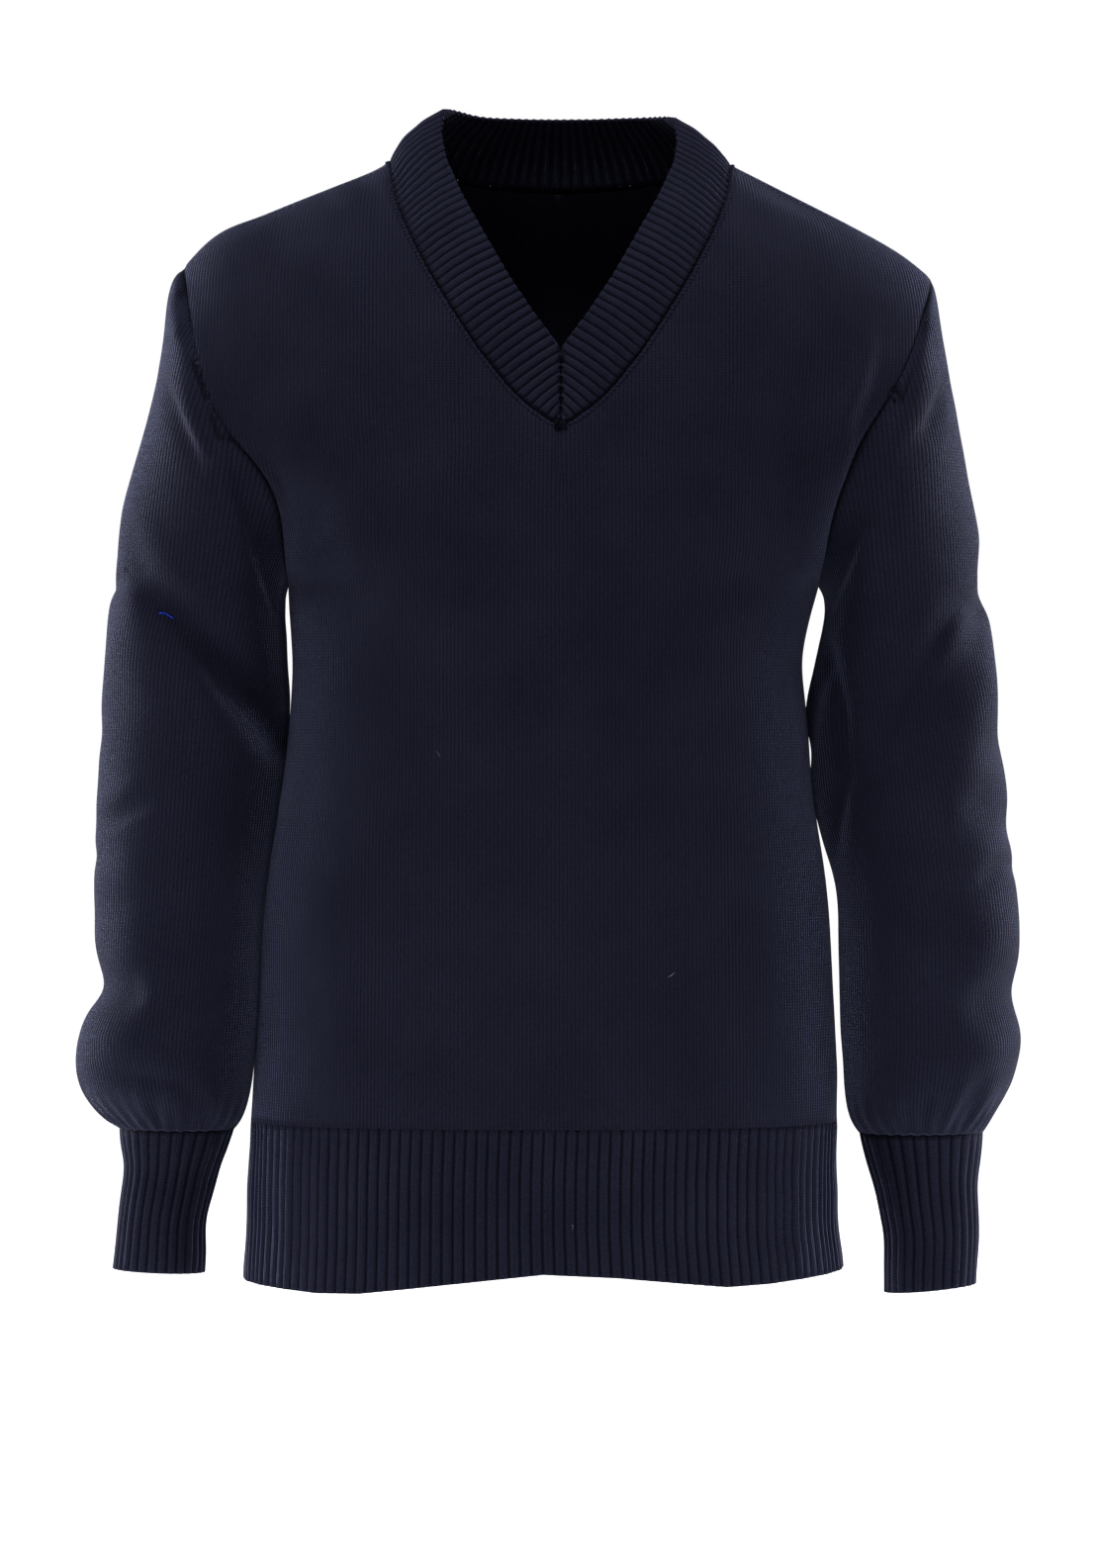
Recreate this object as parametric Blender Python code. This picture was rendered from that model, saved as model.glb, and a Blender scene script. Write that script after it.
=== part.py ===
# School sweater with a V neck, in its worn shape and hollow all through.
# Plain knit body and sleeves, with a ribbed neckband, cuffs and welt.
# The tables are in millimetres and the finished meshes in metres, +Z up.
# The front faces -Y, and the wearer's right side is at -X.
# The origin is at the middle of the neck, level with the top of the shoulders.

import bpy
import numpy as np

MM = 0.001

# Cloth
PLAIN_WALL = 2.0          # thickness of the plain knit
RIB_WALL = 2.4            # thickness of the ribbed knit under the ribs
RIB_RELIEF = 1.1          # height of a rib's crest over its furrow
SEAM_GAP = 0.3            # space left between two pieces at their seam
MOST_MITRE = 2.2          # how far the wall may reach into a sharp seam, in thicknesses
MITRE_PARTING = 0.01      # keeps the two ends of the neckband apart at the V

# Ribs, counted along each band
NECKBAND_RIBS = 124
WELT_RIBS = 72
CUFF_RIBS = 28

# Body sections
SQUARENESS = 2.3          # 2 would make the body's sections ellipses
NECK_CENTRE = 0.8         # where the V points, across the body
RIGHT_CROWN = 9.0         # rise of the right shoulder seam over a straight line
LEFT_CROWN = 4.2          # and of the left one, which hangs straighter
CROWN_FALL = 6            # how late along the seam the shoulder drops to its tip
SHOULDER_COLUMNS = 8      # spans along one shoulder seam
CHEST_BACK = 96.0         # how far the back reaches at the shoulder blades
ARMHOLE_BACK = 65.5       # how far the back armhole reaches
BLADE_SPAN = 0.6          # share of the back yoke over which it rounds to the top
BLADE_ROUNDING = 2.2      # 2 would round it as an ellipse
ARMHOLE_NEARNESS = 4      # how close to its edge the back keeps the armhole's own line
NECKBAND_CROWN = 2.4      # how far the neckband rolls out between its two edges
NECKBAND_SPANS = 3        # across the neckband's width

# Sleeves and hem
SLEEVE_ROWS = 30
SLEEVE_GIRTH_RADIUS = 46.0  # turns degrees round a sleeve into a length
HEM_HEIGHT = -561.0

SHARP_ANGLE = np.radians(30)  # edges sharper than this look crisp, as ribs do


def table(names, *rows):
    """A table with named columns and a row for each section."""
    return dict(zip(names.split(), np.array(rows, dtype=float).T))


# Body below the armholes, from the welt seam up
BODY = table(
    "z right_x left_x front_y back_y",
    (-486, -156.5, 141.7, -93.0, 92.0),
    (-455, -153.3, 140.5, -92.0, 90.5),
    (-415, -151.0, 138.5, -90.5, 87.0),
    (-375, -148.3, 136.2, -89.5, 84.0),
    (-340, -143.2, 131.2, -90.0, 83.5),
    (-310, -138.6, 127.4, -91.5, 84.5),
    (-290, -136.4, 126.0, -93.0, 86.0),
    (-268, -135.0, 123.8, -95.0, 88.0),
    (-250, -134.8, 123.4, -96.0, 90.0),
    (-230, -136.3, 127.5, -97.0, 92.0),
)

# Welt, from its seam down to the hem; the hem's own height comes from HEM
WELT = table(
    "share right_x left_x front_y back_y",
    (0.00, -156.5, 141.7, -93.0, 92.0),
    (0.33, -157.3, 140.7, -93.4, 92.8),
    (0.67, -157.7, 140.8, -94.0, 93.4),
    (1.00, -159.3, 143.6, -95.0, 94.4),
)

# How far the hem dips below or rises above its mean height, across the body
HEM = table(
    "x front_rise back_rise",
    (-156.5, -4.5, -4.5),
    (-107, -7.5, -1.0),
    (-50, -0.5, 0.5),
    (0, 5.0, -3.0),
    (42, 1.2, -3.5),
    (87, -3.5, -4.5),
    (141.7, 1.0, 1.0),
)

# Front from the armholes up: centre line or neckline inside, armhole outside
FRONT_YOKE = table(
    "centre_x inner_x inner_z inner_y right_x right_z left_x left_z edge_y roundness",
    (-3.0, 0.0, -220.0, -97.0, -137.0, -216.0, 131.0, -216.0, 0.0, 0.45),
    (-2.0, 0.0, -201.0, -98.5, -137.9, -206.9, 132.4, -206.9, -24.0, 0.52),
    (-1.0, 0.0, -182.0, -98.5, -138.6, -190.8, 135.0, -190.8, -42.0, 0.62),
    (0.0, 0.0, -162.0, -96.5, -141.5, -174.6, 139.4, -174.6, -53.0, 0.75),
    (0.8, 0.0, -141.6, -92.5, -149.2, -160.1, 144.6, -160.1, -58.0, 0.88),
    (0.8, 20.9, -126.2, -88.0, -160.9, -146.4, 150.4, -146.4, -59.0, 1.0),
    (0.8, 40.4, -102.3, -79.5, -170.3, -133.5, 158.3, -133.5, -57.0, 1.0),
    (0.8, 53.7, -81.6, -70.0, -177.0, -118.5, 168.0, -118.5, -52.0, 1.0),
    (0.8, 64.7, -63.2, -60.0, -181.4, -102.2, 175.8, -102.2, -44.0, 1.0),
    (0.8, 74.8, -43.2, -46.0, -185.0, -84.6, 181.9, -84.6, -33.0, 1.0),
    (0.8, 82.7, -23.7, -27.0, -187.8, -69.6, 186.2, -71.5, -19.0, 1.0),
    (0.8, 85.2, -9.5, -10.0, -189.4, -61.0, 188.2, -63.8, -6.0, 1.0),
    (0.8, 86.2, -1.9, 6.0, -189.9, -57.5, 188.7, -60.3, 6.0, 1.0),
)
V_ROW = 4                 # the yoke's row at the point of the V

# Back armhole, from the armpit up to the shoulder seam
BACK_ARMHOLE = table(
    "right_x left_x z y",
    (-137.0, 131.0, -216.0, 0.0),
    (-140.0, 134.5, -206.0, 26.0),
    (-145.0, 140.0, -190.0, 45.0),
    (-151.0, 146.5, -174.0, 57.0),
    (-157.5, 153.0, -160.0, 63.0),
    (-164.0, 160.0, -146.0, 65.5),
    (-170.0, 166.5, -133.0, 65.0),
    (-176.0, 173.5, -118.0, 61.0),
    (-181.0, 179.5, -102.0, 54.0),
    (-185.5, 184.5, -85.0, 43.0),
    (-188.3, 187.3, -70.5, 28.0),
    (-189.5, 188.4, -62.5, 17.0),
    (-189.9, 188.7, -57.5, 6.0),
)

# Back neckline, from the centre out to the shoulder seam
BACK_NECK = table(
    "x z y",
    (0.0, -10.0, 62.0),
    (23.0, -9.0, 60.0),
    (46.0, -7.0, 54.0),
    (66.0, -4.5, 43.0),
    (80.0, -2.5, 27.0),
    (86.2, -1.9, 6.0),
)

# Neckband stations from the point of the V to the centre back.
# place counts the neckline's spans; free_ is the edge away from the seam.
NECKBAND = table(
    "place free_x free_z free_y",
    (0.00, 0.0, -138.6, -91.8),
    (1.00, 0.0, -110.5, -83.5),
    (1.27, 0.0, -101.6, -80.5),
    (2.00, 13.8, -82.7, -76.0),
    (3.00, 25.4, -64.8, -67.5),
    (4.00, 36.1, -45.5, -56.0),
    (5.00, 47.6, -24.4, -39.5),
    (6.00, 57.0, -3.1, -17.5),
    (7.00, 59.0, 9.5, -4.0),
    (8.00, 58.3, 21.5, 10.0),
    (9.00, 54.0, 24.0, 26.0),
    (10.00, 45.0, 25.0, 38.0),
    (11.00, 31.0, 25.5, 45.5),
    (12.00, 15.5, 25.5, 50.0),
    (13.00, 0.0, 25.5, 51.0),
)

# Sleeve rings below the armhole: outer and inner points, front and back reach
RIGHT_SLEEVE = table(
    "outer_x outer_z inner_x inner_z front_y back_y",
    (-196.2, -67.0, -138.9, -228.0, -61.0, 65.0),
    (-200.5, -96.0, -138.4, -242.0, -60.0, 60.0),
    (-207.5, -131.0, -137.7, -256.0, -57.0, 54.0),
    (-216.0, -163.0, -136.9, -268.0, -54.0, 49.0),
    (-222.5, -190.0, -136.8, -280.0, -52.0, 46.0),
    (-226.0, -220.0, -137.6, -292.0, -51.0, 44.0),
    (-229.0, -255.0, -139.1, -305.0, -51.0, 43.0),
    (-231.0, -290.0, -141.6, -323.0, -52.5, 41.0),
    (-232.8, -325.0, -145.3, -347.0, -54.5, 38.5),
    (-234.0, -362.0, -149.1, -374.0, -57.0, 35.5),
    (-233.5, -398.0, -151.3, -402.0, -59.0, 33.0),
    (-232.5, -419.0, -152.8, -425.0, -60.0, 31.0),
    (-238.5, -435.0, -153.8, -443.0, -62.5, 31.0),
    (-242.5, -449.0, -154.8, -457.0, -63.5, 30.5),
    (-240.3, -466.0, -156.6, -470.0, -60.0, 27.0),
    (-232.0, -479.0, -159.8, -481.0, -52.0, 18.0),
    (-221.0, -489.0, -164.8, -489.5, -42.5, 9.5),
)
LEFT_SLEEVE = table(
    "outer_x outer_z inner_x inner_z front_y back_y",
    (191.3, -73.0, 135.3, -228.0, -60.0, 64.0),
    (195.0, -97.0, 132.6, -242.0, -59.0, 59.0),
    (201.0, -131.0, 129.8, -256.0, -57.0, 54.0),
    (206.3, -163.0, 127.9, -268.0, -54.0, 49.0),
    (211.8, -190.0, 126.9, -281.0, -52.0, 46.0),
    (216.0, -219.0, 127.3, -294.0, -51.0, 44.0),
    (219.3, -252.0, 128.4, -308.0, -51.0, 43.0),
    (221.5, -286.0, 130.3, -324.0, -52.5, 41.0),
    (226.5, -321.0, 134.5, -347.0, -54.5, 38.5),
    (229.8, -360.0, 140.0, -374.0, -57.0, 35.5),
    (231.8, -396.0, 141.0, -402.0, -59.0, 33.0),
    (229.8, -419.0, 141.2, -425.0, -60.0, 31.0),
    (232.0, -434.0, 142.0, -445.0, -62.5, 31.0),
    (231.3, -449.0, 143.3, -459.0, -63.5, 30.5),
    (227.0, -466.0, 145.3, -473.0, -60.0, 27.0),
    (219.5, -480.0, 148.3, -484.5, -52.0, 18.0),
    (213.3, -491.0, 152.5, -491.5, -43.0, 10.0),
)

# Cuff rings below the sleeve's last ring, down to the open end
RIGHT_CUFF = table(
    "outer_x outer_z inner_x inner_z front_y back_y",
    (-218.5, -509.0, -171.8, -510.0, -39.5, 6.5),
    (-221.5, -535.0, -177.3, -536.0, -40.0, 5.0),
    (-224.0, -559.5, -178.0, -561.5, -41.0, 4.5),
)
LEFT_CUFF = table(
    "outer_x outer_z inner_x inner_z front_y back_y",
    (210.3, -516.0, 158.7, -516.5, -40.5, 7.0),
    (210.8, -542.0, 163.3, -543.5, -41.0, 5.5),
    (209.3, -567.0, 163.5, -571.5, -41.5, 5.0),
)

# The largest folds of the sleeves: around is in degrees from the outer edge,
# through the front at 90 and the side against the body at 180.
RIGHT_SLEEVE_FOLDS = table(
    "from_around from_z to_around to_z lift width",
    (62, -222, 158, -290, -4.5, 11),
    (-20, -200, 48, -210, -4.0, 9),
    (-15, -414, 58, -420, -3.5, 9),
    (40, -250, 120, -300, 2.5, 13),
    (225, -232, 300, -212, -4.0, 11),
    (205, -290, 280, -318, -3.0, 12),
)
LEFT_SLEEVE_FOLDS = table(
    "from_around from_z to_around to_z lift width",
    (2, -212, 92, -290, -4.5, 11),
    (150, -262, 178, -300, -2.5, 10),
    (25, -270, 80, -330, 2.5, 13),
    (-15, -340, 50, -330, -2.5, 10),
    (-12, -424, 60, -428, -3.0, 9),
    (230, -240, 305, -218, -4.0, 11),
    (205, -300, 275, -322, -3.0, 12),
)

# The largest folds of the body, by the places that they run between
FRONT_FOLDS = table(
    "from_x from_z to_x to_z lift width",
    (146, -128, 116, -215, 3.0, 15),
    (122, -128, 104, -196, -2.5, 14),
    (-132, -166, -104, -226, -3.0, 15),
    (-118, -150, -92, -215, 2.5, 16),
)
BACK_FOLDS = table(
    "from_x from_z to_x to_z lift width",
    (-140, -120, -88, -232, -3.0, 18),
    (136, -126, 92, -240, -3.0, 18),
    (-110, -300, 95, -330, 2.0, 22),
)


def smooth_rows(rings, count):
    """Reads count + 1 evenly spaced rings from a smooth surface through the given ones."""
    steps = np.linalg.norm(np.diff(rings, axis=0), axis=2).mean(axis=1)
    stations = np.concatenate(([0.0], np.cumsum(steps)))
    slopes = np.gradient(rings, stations, axis=0)
    wanted = np.linspace(0.0, stations[-1], count + 1)
    before = np.clip(np.searchsorted(stations, wanted, side="right") - 1, 0, len(stations) - 2)
    span = stations[before + 1] - stations[before]
    t = ((wanted - stations[before]) / span)[:, None, None]
    span = span[:, None, None]
    return (
        (2 * t**3 - 3 * t**2 + 1) * rings[before]
        + (t**3 - 2 * t**2 + t) * span * slopes[before]
        + (3 * t**2 - 2 * t**3) * rings[before + 1]
        + (t**3 - t**2) * span * slopes[before + 1]
    )


def unit(vectors):
    """Vectors of the same directions and of length 1."""
    return vectors / np.maximum(np.linalg.norm(vectors, axis=-1, keepdims=True), 1e-9)


def key(point):
    """The name of a place, the same for points that meet at a seam."""
    return tuple(np.round(point, 3) + 0.0)


def weld(patches):
    """Joins grids of points that share edges into one skin of points and quads."""
    places = {}
    points = []
    faces = []
    grids = []
    for patch in patches:
        index = np.empty(patch.shape[:2], dtype=int)
        for spot in np.ndindex(index.shape):
            place = key(patch[spot])
            if place not in places:
                places[place] = len(points)
                points.append(patch[spot])
            index[spot] = places[place]
        grids.append(index)
        for row in range(index.shape[0] - 1):
            for column in range(index.shape[1] - 1):
                a, b = index[row, column], index[row, column + 1]
                c, d = index[row + 1, column + 1], index[row + 1, column]
                faces.append((a, b, c, d))
    return turned_outward({"points": np.array(points), "faces": faces, "grids": grids})


def face_normals(points, faces):
    """The direction that each quad of a skin faces."""
    corners = points[np.array(faces)]
    return unit(np.cross(corners[:, 2] - corners[:, 0], corners[:, 3] - corners[:, 1]))


def turned_outward(skin):
    """Turns the quads of a bulging skin so that they face away from its middle."""
    directions = face_normals(skin["points"], skin["faces"])
    centres = skin["points"][np.array(skin["faces"])].mean(axis=1)
    if np.sum(directions * (centres - skin["points"].mean(axis=0))) < 0:
        skin["faces"] = [face[::-1] for face in skin["faces"]]
    return skin


def corner_angles(points, faces):
    """The angle of each quad at each of its corners."""
    corners = points[np.array(faces)]
    forward = unit(np.roll(corners, -1, axis=1) - corners)
    back = unit(np.roll(corners, 1, axis=1) - corners)
    return np.arccos(np.clip(np.sum(forward * back, axis=-1), -1.0, 1.0))


def point_normals(skins):
    """Mean normals at each skin's points, shared by all the skins that meet there."""
    totals = {}
    weights = {}
    for skin in skins:
        points, faces = skin["points"], skin["faces"]
        angles = corner_angles(points, faces)
        for face, direction, shares in zip(faces, face_normals(points, faces), angles):
            for corner, share in zip(face, shares):
                place = key(points[corner])
                totals[place] = totals.get(place, 0.0) + share * direction
                weights[place] = weights.get(place, 0.0) + share
    means = {place: total / weights[place] for place, total in totals.items()}
    return [np.array([means[key(point)] for point in skin["points"]]) for skin in skins]


def rim_edges(faces):
    """The edges that only one quad has, each in that quad's direction."""
    owners = {}
    for number, face in enumerate(faces):
        for a, b in zip(face, face[1:] + face[:1]):
            owners[(a, b)] = number
    return [(a, b, owners[(a, b)]) for a, b in owners if (b, a) not in owners]


def drawn_in(skin, distance):
    """The skin's points, with its rim moved into the skin by a distance."""
    points = skin["points"]
    directions = face_normals(points, skin["faces"])
    inward = {}
    for a, b, number in rim_edges(skin["faces"]):
        side = unit(np.cross(directions[number], points[b] - points[a]))
        inward.setdefault(a, []).append(side)
        inward.setdefault(b, []).append(side)
    moved = points.copy()
    for corner, (first, second) in inward.items():
        moved[corner] += distance * (first + second) / (1.0 + np.dot(first, second))
    return moved


def inner_points(outer, normals, wall):
    """Points under the outer ones by the wall's thickness, deeper in a sharp seam."""
    match = np.linalg.norm(normals, axis=1, keepdims=True)
    return outer - unit(normals) * wall / np.clip(match, 1 / MOST_MITRE, 1.0)


def fold_lift(across, along, folds):
    """Lift of soft folds at places given across and along the cloth."""
    lift = np.zeros(across.shape)
    for x1, z1, x2, z2, height, width in zip(*folds.values()):
        run_x, run_z = x2 - x1, z2 - z1
        share = ((across - x1) * run_x + (along - z1) * run_z) / (run_x**2 + run_z**2)
        share = np.clip(share, 0.0, 1.0)
        gap = np.hypot(across - x1 - share * run_x, along - z1 - share * run_z)
        lift += height * np.exp(-((gap / width) ** 2))
    return lift


def folded(skin, lift):
    """Moves a skin's inner points by the lift of its folds; its seams stay."""
    normals = unit(point_normals([skin])[0])
    held = {corner for edge in rim_edges(skin["faces"]) for corner in edge[:2]}
    free = np.array([corner not in held for corner in range(len(lift))])
    skin["points"] = skin["points"] + normals * (lift * free)[:, None]
    return skin


def front_half(side, crown):
    """Rows of one half of the front, from the centre line or neckline to its edge."""
    sign = -1.0 if side == "right_x" else 1.0
    columns = np.arange(SHOULDER_COLUMNS + 1) / SHOULDER_COLUMNS
    plain = 1.0 / SQUARENESS
    lower_centre = (BODY["right_x"] + BODY["left_x"]) / 2
    zeros = np.zeros(len(BODY["z"]))
    inner_x = np.append(lower_centre, FRONT_YOKE["centre_x"] + sign * FRONT_YOKE["inner_x"])
    inner_y = np.append(BODY["front_y"], FRONT_YOKE["inner_y"])
    inner_z = np.append(BODY["z"], FRONT_YOKE["inner_z"])
    edge_x = np.append(BODY[side], FRONT_YOKE[side])
    edge_y = np.append(zeros, FRONT_YOKE["edge_y"])
    edge_z = np.append(BODY["z"], FRONT_YOKE[side.replace("_x", "_z")])
    roundness = np.append(zeros + plain, FRONT_YOKE["roundness"])
    rows_above = FRONT_YOKE["edge_y"]
    rows = []
    for row, power in enumerate(roundness):
        mix = (power - plain) / (1.0 - plain)
        share = (1 - mix) * np.sin(columns * np.pi / 2) ** (2 * plain) + mix * columns
        share[-1] = 1.0
        x = inner_x[row] + (edge_x[row] - inner_x[row]) * share
        fall = (1.0 - share**SQUARENESS) ** power
        y = edge_y[row] + (inner_y[row] - edge_y[row]) * fall
        z = inner_z[row] + (edge_z[row] - inner_z[row]) * share
        bulge = share * (1.0 - share**CROWN_FALL)
        climb = (row - len(zeros) - V_ROW) / (len(rows_above) - 1 - V_ROW)
        z = z + crown * max(climb, 0.0) * bulge / bulge.max()
        rows.append(np.stack([x, y, z], axis=1))
    return np.array(rows)


def back_grid(right_front, left_front):
    """Rows of the back, across from the right edge to the left edge."""
    half = len(BACK_NECK["x"]) - 1 + SHOULDER_COLUMNS
    top = shoulder_and_neck(right_front[-1], left_front[-1])
    spread = np.sin(np.abs(np.arange(-half, half + 1)) / half * np.pi / 2) ** (2 / SQUARENESS)
    spread[[0, -1]] = 1.0
    signs = np.sign(np.arange(-half, half + 1))
    depth = (1.0 - spread**SQUARENESS) ** (1.0 / SQUARENESS)
    rows = []
    for z, right, left, reach in zip(BODY["z"], BODY["right_x"], BODY["left_x"], BODY["back_y"]):
        rows.append(section(z, right, left, reach, spread, signs, depth))
    armpit = section(BACK_ARMHOLE["z"][0], BACK_ARMHOLE["right_x"][0],
                     BACK_ARMHOLE["left_x"][0], BODY["back_y"][-1], spread, signs, depth)
    top_spread = np.abs(top[:, 0] - NECK_CENTRE) / np.abs(top[0, 0] - NECK_CENTRE)
    blades = ARMHOLE_BACK + (CHEST_BACK - ARMHOLE_BACK) * (1.0 - top_spread**2)
    widest = int(np.argmax(BACK_ARMHOLE["y"]))
    heights = (BACK_ARMHOLE["z"] - BACK_ARMHOLE["z"][0]) / np.ptp(BACK_ARMHOLE["z"])
    for row, height in enumerate(heights):
        near_top = min((1.0 - height) / BLADE_SPAN, 1.0)
        rounding = np.sqrt(1.0 - (1.0 - near_top) ** BLADE_ROUNDING)
        turning = BACK_ARMHOLE["y"][row] / ARMHOLE_BACK if row < widest else 1.0
        points = armpit + (top - armpit) * height
        full = top[:, 1] + (blades - top[:, 1]) * rounding
        points[:, 1] = armpit[:, 1] + (full - armpit[:, 1]) * turning
        for edge, side in ((0, "right_x"), (-1, "left_x")):
            place = [BACK_ARMHOLE[name][row] for name in (side, "y", "z")]
            pull = np.where(signs == signs[edge], spread**ARMHOLE_NEARNESS, 0.0)
            points = points + pull[:, None] * (place - points[edge])
        rows.append(points)
    rows[-1] = top
    return np.array(rows)


def section(z, right, left, reach, spread, signs, depth):
    """One level row of the back, from its right edge to its left edge."""
    centre = (right + left) / 2
    x = centre + signs * spread * (left - right) / 2
    return np.stack([x, reach * depth, np.full(len(x), z)], axis=1)


def shoulder_and_neck(right_shoulder, left_shoulder):
    """The back's top edge: right shoulder, back neckline, left shoulder."""
    neck = np.stack([BACK_NECK["x"], BACK_NECK["y"], BACK_NECK["z"]], axis=1)
    right_neck = neck[::-1] * (-1, 1, 1) + (NECK_CENTRE, 0, 0)
    left_neck = neck[1:] + (NECK_CENTRE, 0, 0)
    return np.concatenate([right_shoulder[:0:-1], right_neck, left_neck, left_shoulder[1:]])


def welt_grid(seam, side):
    """Rows of the front or back welt, from its seam down to the hem."""
    shares = (seam[:, 0] - seam[0, 0]) / (seam[-1, 0] - seam[0, 0])
    rise = np.interp(seam[:, 0], HEM["x"], HEM[side.replace("_y", "_rise")])
    rows = []
    for row, share in enumerate(WELT["share"]):
        right, left = WELT["right_x"][row], WELT["left_x"][row]
        reach = WELT[side][row] / WELT[side][0]
        x = right + (left - right) * shares
        z = seam[:, 2] + share * (HEM_HEIGHT + rise - seam[:, 2])
        rows.append(np.stack([x, seam[:, 1] * reach, z], axis=1))
    return np.array(rows)


def ring(sizes, row, columns):
    """One closed ring of a sleeve or cuff, from its outer point round the front."""
    angles = np.linspace(0.0, 2 * np.pi, columns + 1)
    outer = np.array([sizes["outer_x"][row], sizes["outer_z"][row]])
    inner = np.array([sizes["inner_x"][row], sizes["inner_z"][row]])
    front, back = sizes["front_y"][row], sizes["back_y"][row]
    across = (outer + inner) / 2 + np.cos(angles)[:, None] * (outer - inner) / 2
    y = (front + back) / 2 + (front - back) / 2 * np.sin(angles)
    points = np.stack([across[:, 0], y, across[:, 1]], axis=1)
    points[-1] = points[0]
    return points


def sleeve_grid(armhole, sizes):
    """Rings of a sleeve, from its armhole seam down to the cuff seam."""
    rings = [armhole]
    for row in range(len(sizes["outer_x"])):
        rings.append(ring(sizes, row, len(armhole) - 1))
    return smooth_rows(np.array(rings), SLEEVE_ROWS)


def sleeve_skin(grid, folds):
    """A sleeve's skin with its largest folds."""
    skin = weld([grid])
    turn = np.broadcast_to(np.linspace(0.0, 360.0, grid.shape[1]), grid.shape[:2])
    lift = np.zeros(len(skin["points"]))
    to_length = np.radians(SLEEVE_GIRTH_RADIUS)
    scaled = dict(folds)
    scaled["from_around"] = folds["from_around"] * to_length
    scaled["to_around"] = folds["to_around"] * to_length
    for whole_turn in (0.0, -360.0):
        at = fold_lift((turn + whole_turn) * to_length, grid[..., 2], scaled)
        lift[skin["grids"][0][:, :-1]] += at[:, :-1]
    return folded(skin, lift)


def cuff_grid(seam, sizes):
    """Rings of a cuff, from its seam down to its open end."""
    rings = [seam]
    for row in range(len(sizes["outer_x"])):
        rings.append(ring(sizes, row, len(seam) - 1))
    return np.array(rings)


def neckband_grid(right_line, left_line):
    """Rows of the neckband across its width, from its seam to its free edge."""
    right = neckband_half(right_line, -1.0)
    left = neckband_half(left_line, 1.0)
    whole = np.concatenate([right, left[:, -2::-1]], axis=1)
    along = np.gradient(whole, axis=1)
    across = np.broadcast_to(whole[-1] - whole[0], whole.shape)
    outward = unit(np.cross(across, along))
    if np.sum(outward * (whole - whole.mean(axis=(0, 1)))) < 0:
        outward = -outward
    width = np.linalg.norm(whole[-1] - whole[0], axis=1)
    shares = np.linspace(0.0, 1.0, NECKBAND_SPANS + 1)[:, None, None]
    crown = NECKBAND_CROWN * np.clip(width / width.max(), 0.0, 1.0)[None, :, None]
    return whole + outward * crown * 4 * shares * (1 - shares)


def neckband_half(line, sign):
    """Rows of half of the neckband, from the V to the centre back."""
    places = NECKBAND["place"]
    spans = np.arange(len(line))
    seam = np.stack([np.interp(places, spans, line[:, axis]) for axis in range(3)], axis=1)
    free_x = NECK_CENTRE + sign * NECKBAND["free_x"]
    free = np.stack([free_x, NECKBAND["free_y"], NECKBAND["free_z"]], axis=1)
    parting = np.array([sign * MITRE_PARTING, 0.0, 0.0])
    mitred = (NECKBAND["free_x"] == 0.0) & (places < V_ROW)
    free[mitred] += parting
    seam[0] += parting
    shares = np.linspace(0.0, 1.0, NECKBAND_SPANS + 1)[:, None, None]
    return seam + (free - seam) * shares


def add_object(name, points, faces, material):
    """A new object whose mesh has these points, in millimetres, and faces."""
    mesh = bpy.data.meshes.new(name)
    mesh.from_pydata([tuple(point * MM) for point in points], [], faces)
    mesh.shade_smooth()
    mesh.set_sharp_from_angle(angle=SHARP_ANGLE)
    mesh.materials.append(material)
    piece = bpy.data.objects.new(name, mesh)
    bpy.context.scene.collection.objects.link(piece)
    return piece


def plain_wall(name, skin, normals, material):
    """A piece of plain knit: the skin outside, and the same form inside."""
    outer = drawn_in(skin, SEAM_GAP / 2)
    inner = inner_points(outer, normals, PLAIN_WALL)
    count = len(outer)
    faces = list(skin["faces"])
    faces += [tuple(corner + count for corner in face[::-1]) for face in skin["faces"]]
    for a, b, _ in rim_edges(skin["faces"]):
        if key(skin["points"][a]) < key(skin["points"][b]):
            faces += [(b, a, b + count), (a, a + count, b + count)]
        else:
            faces += [(b, a, a + count), (b, a + count, b + count)]
    faces = [tuple(int(corner) for corner in face) for face in faces]
    return add_object(name, np.concatenate([outer, inner]), faces, material)


def laced(first, second):
    """Triangles between two lines of point numbers with different spacing."""
    faces = []
    a, b = 0, 0
    last_a, last_b = len(first) - 1, len(second) - 1
    while a < last_a or b < last_b:
        step_a = (a + 1) / last_a if a < last_a else 2.0
        step_b = (b + 1) / last_b if b < last_b else 2.0
        if step_a <= step_b:
            faces.append((first[a], first[a + 1], second[b]))
            a += 1
        else:
            faces.append((first[a], second[b + 1], second[b]))
            b += 1
    return faces


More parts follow.
